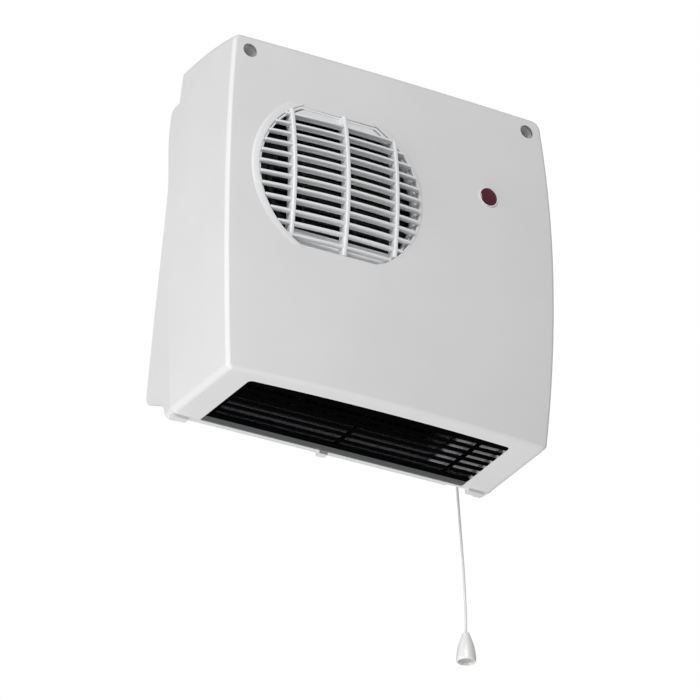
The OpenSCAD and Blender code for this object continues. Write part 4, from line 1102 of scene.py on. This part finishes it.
def make_grille():
    """Rim, flange, plain strip and baffle, with the louvres, beads and ribs across them."""
    rim = intake_ring("intake_rim", RIM_OUT, RIM_Y0, RIM_CUT)
    modify(
        rim, "BEVEL", width=RIM_SOFT * MM, segments=2, limit_method="ANGLE",
        angle_limit=math.radians(35), miter_outer="MITER_ARC",
    )
    flange = intake_ring("flange", FLANGE_OUT, FLANGE_Y0, FLANGE_CUT)
    levels = [LOUVRE_Z + LOUVRE_PITCH * (k - (LOUVRES - 1) / 2) for k in range(LOUVRES)]
    strip = trim(intake_solid("top_strip", PLATE_OUT, TOP_Y0, TOP_Y1), 2, low=levels[-1])
    groove = rod("groove", AXIS_X, AXIS_Z, GROOVE_R1, TOP_Y0 - 1.5, TOP_Y1 + 0.5, 128)
    core = rod("groove_core", AXIS_X, AXIS_Z, GROOVE_R0, TOP_Y0 - 3.5, TOP_Y1 + 2.5, 128)
    carve(strip, carve(groove, core))
    baffle = intake_solid("baffle", PLATE_OUT, BAFFLE_Y0, BAFFLE_Y1)
    trim(trim(baffle, 2, high=BAFFLE_TOP), 0, RIBS[0], RIBS[2])
    bars = [make_louvre(z) for z in levels]
    bars += [make_bead(z) for z in levels[BEADS_FROM:]]
    bars += [make_rib(x) for x in RIBS]
    grille = smooth(join([rim, flange, strip, baffle, *bars], "intake_louvres"), 34)
    hand_over(into_place(grille), "chassis", "grille_white", grille_moulding, "intake_grille")


make_grille()

# ---- Outlet ---------------------------------------------------------------------------------

# Slots: middle of the first, pitch, width, number, and how far they lean back going up
SLOT_Y0, SLOT_STEP, SLOT_W, SLOTS, SLOT_LEAN = 15.5, 8.15, 4.0, 6, 1.43
# Cross ribs, rear end of the plate, its thickness and the rounding of its edges
CROSS_X, CROSS_T, RAIL_Y1, RAIL_H, SLOT_SOFT = (-6.0, 73.0), 1.5, 63.4, 2.2, 0.25
# The grey strip: from its front edge, depth and height of each corner
STRIP_Y, STRIP_GAP = 63.7, 0.45
STRIP = [
    (0, 4.5), (0, 1.3), (0.3, 0.8), (1.2, 0.2), (2.4, -0.2), (3.6, -0.3), (4.8, -0.2),
    (5.8, 0.1), (6, 0.8), (6, 4.5),
]


def make_outlet():
    """A black plate with leaning slots between its rails; the slots run out at the right end."""
    plate = trim(outlet_solid("outlet_slots", 0.3, 0, RAIL_H), 1, high=RAIL_Y1)
    ribs = [edge for x in CROSS_X for edge in (x, x + CROSS_T)]
    stops = [OUTLET_X0 + 3, *ribs, OUTLET_X1 + 2]
    for k in range(SLOTS):
        middle = SLOT_Y0 + SLOT_STEP * k
        for x in zip(stops[::2], stops[1::2]):
            slot = block("slot", x, (middle - SLOT_W / 2, middle + SLOT_W / 2), (-1, RAIL_H + 1))
            carve(plate, shape(slot, lambda a, y, z: (a, y + z * SLOT_LEAN, z)))
    soften(plate, SLOT_SOFT, 1)
    smooth(shape(plate, tilt), 30)
    hand_over(into_place(plate), "chassis", "outlet_black", black_moulding, "outlet_grille")


def make_strip():
    """The rounded grey strip behind the slots, higher towards its front edge."""
    x0, x1 = OUTLET_X0 + STRIP_GAP, OUTLET_X1 - STRIP_GAP
    strip = draw_out(outline("outlet_strip", [(x0, STRIP_Y + y, z) for y, z in STRIP]), x1 - x0, 0)
    smooth(shape(strip, tilt), 40)
    hand_over(into_place(strip), "chassis", "strip_grey", grey_strip, "outlet_deflector")


make_outlet()
make_strip()

# ---- Indicator ------------------------------------------------------------------------------

# The ring: distance outside the lens and place ahead of the face
RING = [
    (0, 9), (0, -0.75), (0.12, -0.95), (0.35, -1.0), (0.65, -0.9), (0.8, -0.65), (0.8, -0.35),
    (0.5, -0.35), (0.5, 9),
]
# The lens: gap in its ring, place of its rim, rise of its dome, and place of its rear
LENS_PLAY, LENS_RIM, LENS_RISE, LENS_REAR = 0.05, -0.45, 1.05, 5


def make_indicator():
    """The domed red lens in its narrow ring."""
    face = face_y(LENS_X, LENS_Z)
    ring = [(LENS_R + r, face + y) for r, y in RING]
    bezel = into_place(smooth(spin("indicator_bezel", ring, (LENS_X, LENS_Z)), 35))
    hand_over(bezel, "chassis", "casing", white_moulding, "neon_bezel")
    r, turns = LENS_R - LENS_PLAY, [math.radians(a) for a in range(0, 91, 9)]
    domed = [(r * math.sin(a), face + LENS_RIM - LENS_RISE * math.cos(a)) for a in turns]
    profile = [(0, face + LENS_REAR), *domed, (r, face + LENS_REAR)]
    lens = into_place(smooth(spin("indicator_lens", profile, (LENS_X, LENS_Z)), 50))
    hand_over(lens, "chassis", "lens_red", red_lens, "neon_lens")


make_indicator()

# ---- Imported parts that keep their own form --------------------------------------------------

FINISHES = (
    (zinc_steel, "cover_screws housing_screws motor_screws clamp_screws"),
    (zinc_steel, "front_bracket rear_bracket"),
    (ground_steel, "motor_shaft switch_spring"),
    (laminated_steel, "rotor stator_core"),
    (plain_brass, "front_bearing rear_bearing terminal_screws contact_rotor"),
    (copper_winding, "motor_coil"),
    # Near-black ribbons: painted shade of the unlit duct
    (ribbon_metal_painted_shade, "element_ribbons"),
    (guard_wire, "inner_guard"),
    (inner_black, "inlet_plate impeller"),
    # The fan housing's lighter grey is partly a painted sheen seen through the outlet slots
    (duct_grey_and_painted_sheen, "fan_housing"),
    (inner_moulding, "lamp_holder"),
    (glass_lamp, "neon_lamp"),
    (nylon, "coil_bobbin"),
    # Near-black mica: painted shade of the unlit duct
    (mica_board_painted_shade, "element_frame"),
    (phenolic, "thermal_cutout"),
    (terminal_nylon, "terminal_block cable_clamp"),
    (black_rubber, "cable_grommet"),
    (switch_moulding, "switch_body switch_cap"),
    (red_acetal, "switch_plunger"),
    (pull_moulding, "cord_bush"),
)
for material, nodes in FINISHES:
    for node in nodes.split():
        worn = frame["nodes"][node].data.materials
        worn.clear()
        worn.append(material)

# ---- Floor and light ------------------------------------------------------------------------

FLOOR_SIZE, FLOOR_Z, FLOOR_TONE = 14, -1.65, 0.8
# Strength of the ground as a light, and as the camera sees it
GROUND_LIGHT, GROUND_SEEN = 0.22, 1.0
# Name, place, width and power of each lamp, and the point that all of them face
LAMPS = (
    ("key", (-1.1, -2.3, 1.1), 1.8, 47),
    ("side", (-2.4, -0.2, -0.4), 1.4, 29.5),
    ("low", (-0.2, -0.1, -1.5), 0.9, 9.8),
)
LIT = Vector((0, -0.05, 0))


def stage_floor():
    """A pale floor far below the heater."""
    clear_bench()
    bpy.ops.mesh.primitive_plane_add(size=FLOOR_SIZE, location=(0, 0, FLOOR_Z))
    floor = bpy.context.active_object
    floor.name = "floor"
    tone = (FLOOR_TONE, FLOOR_TONE, FLOOR_TONE, 1)
    floor.data.materials.append(new_finish("pale_floor", Base_Color=tone, Roughness=0.8))
    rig.stage(floor)


def light_studio():
    """Three soft lamps, and a white ground that lights less than it shows."""
    world = bpy.data.worlds.new("studio")
    world.use_nodes = True
    tree = world.node_tree
    ground = tree.nodes["Background"]
    ground.inputs["Color"].default_value = (1, 1, 1, 1)
    ray = add(tree, "ShaderNodeLightPath").outputs["Is Camera Ray"]
    strength = ramp(tree, ray, 0.0, 1.0, GROUND_LIGHT, GROUND_SEEN)
    tree.links.new(strength, ground.inputs["Strength"])
    bpy.context.scene.world = world
    for name, place, size, power in LAMPS:
        lamp = bpy.data.lights.new(name, "AREA")
        lamp.shape, lamp.size, lamp.energy = "DISK", size, power
        light = bpy.data.objects.new(name, lamp)
        light.location = place
        light.rotation_euler = (LIT - Vector(place)).to_track_quat("-Z", "Y").to_euler()
        bpy.context.scene.collection.objects.link(light)
    bpy.context.scene.view_settings.view_transform = "Standard"


stage_floor()
light_studio()

with open("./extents.json", "w") as out:
    json.dump([[list(map(float, corner)) for corner in box] for box in (cad_box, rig.bounds())], out)
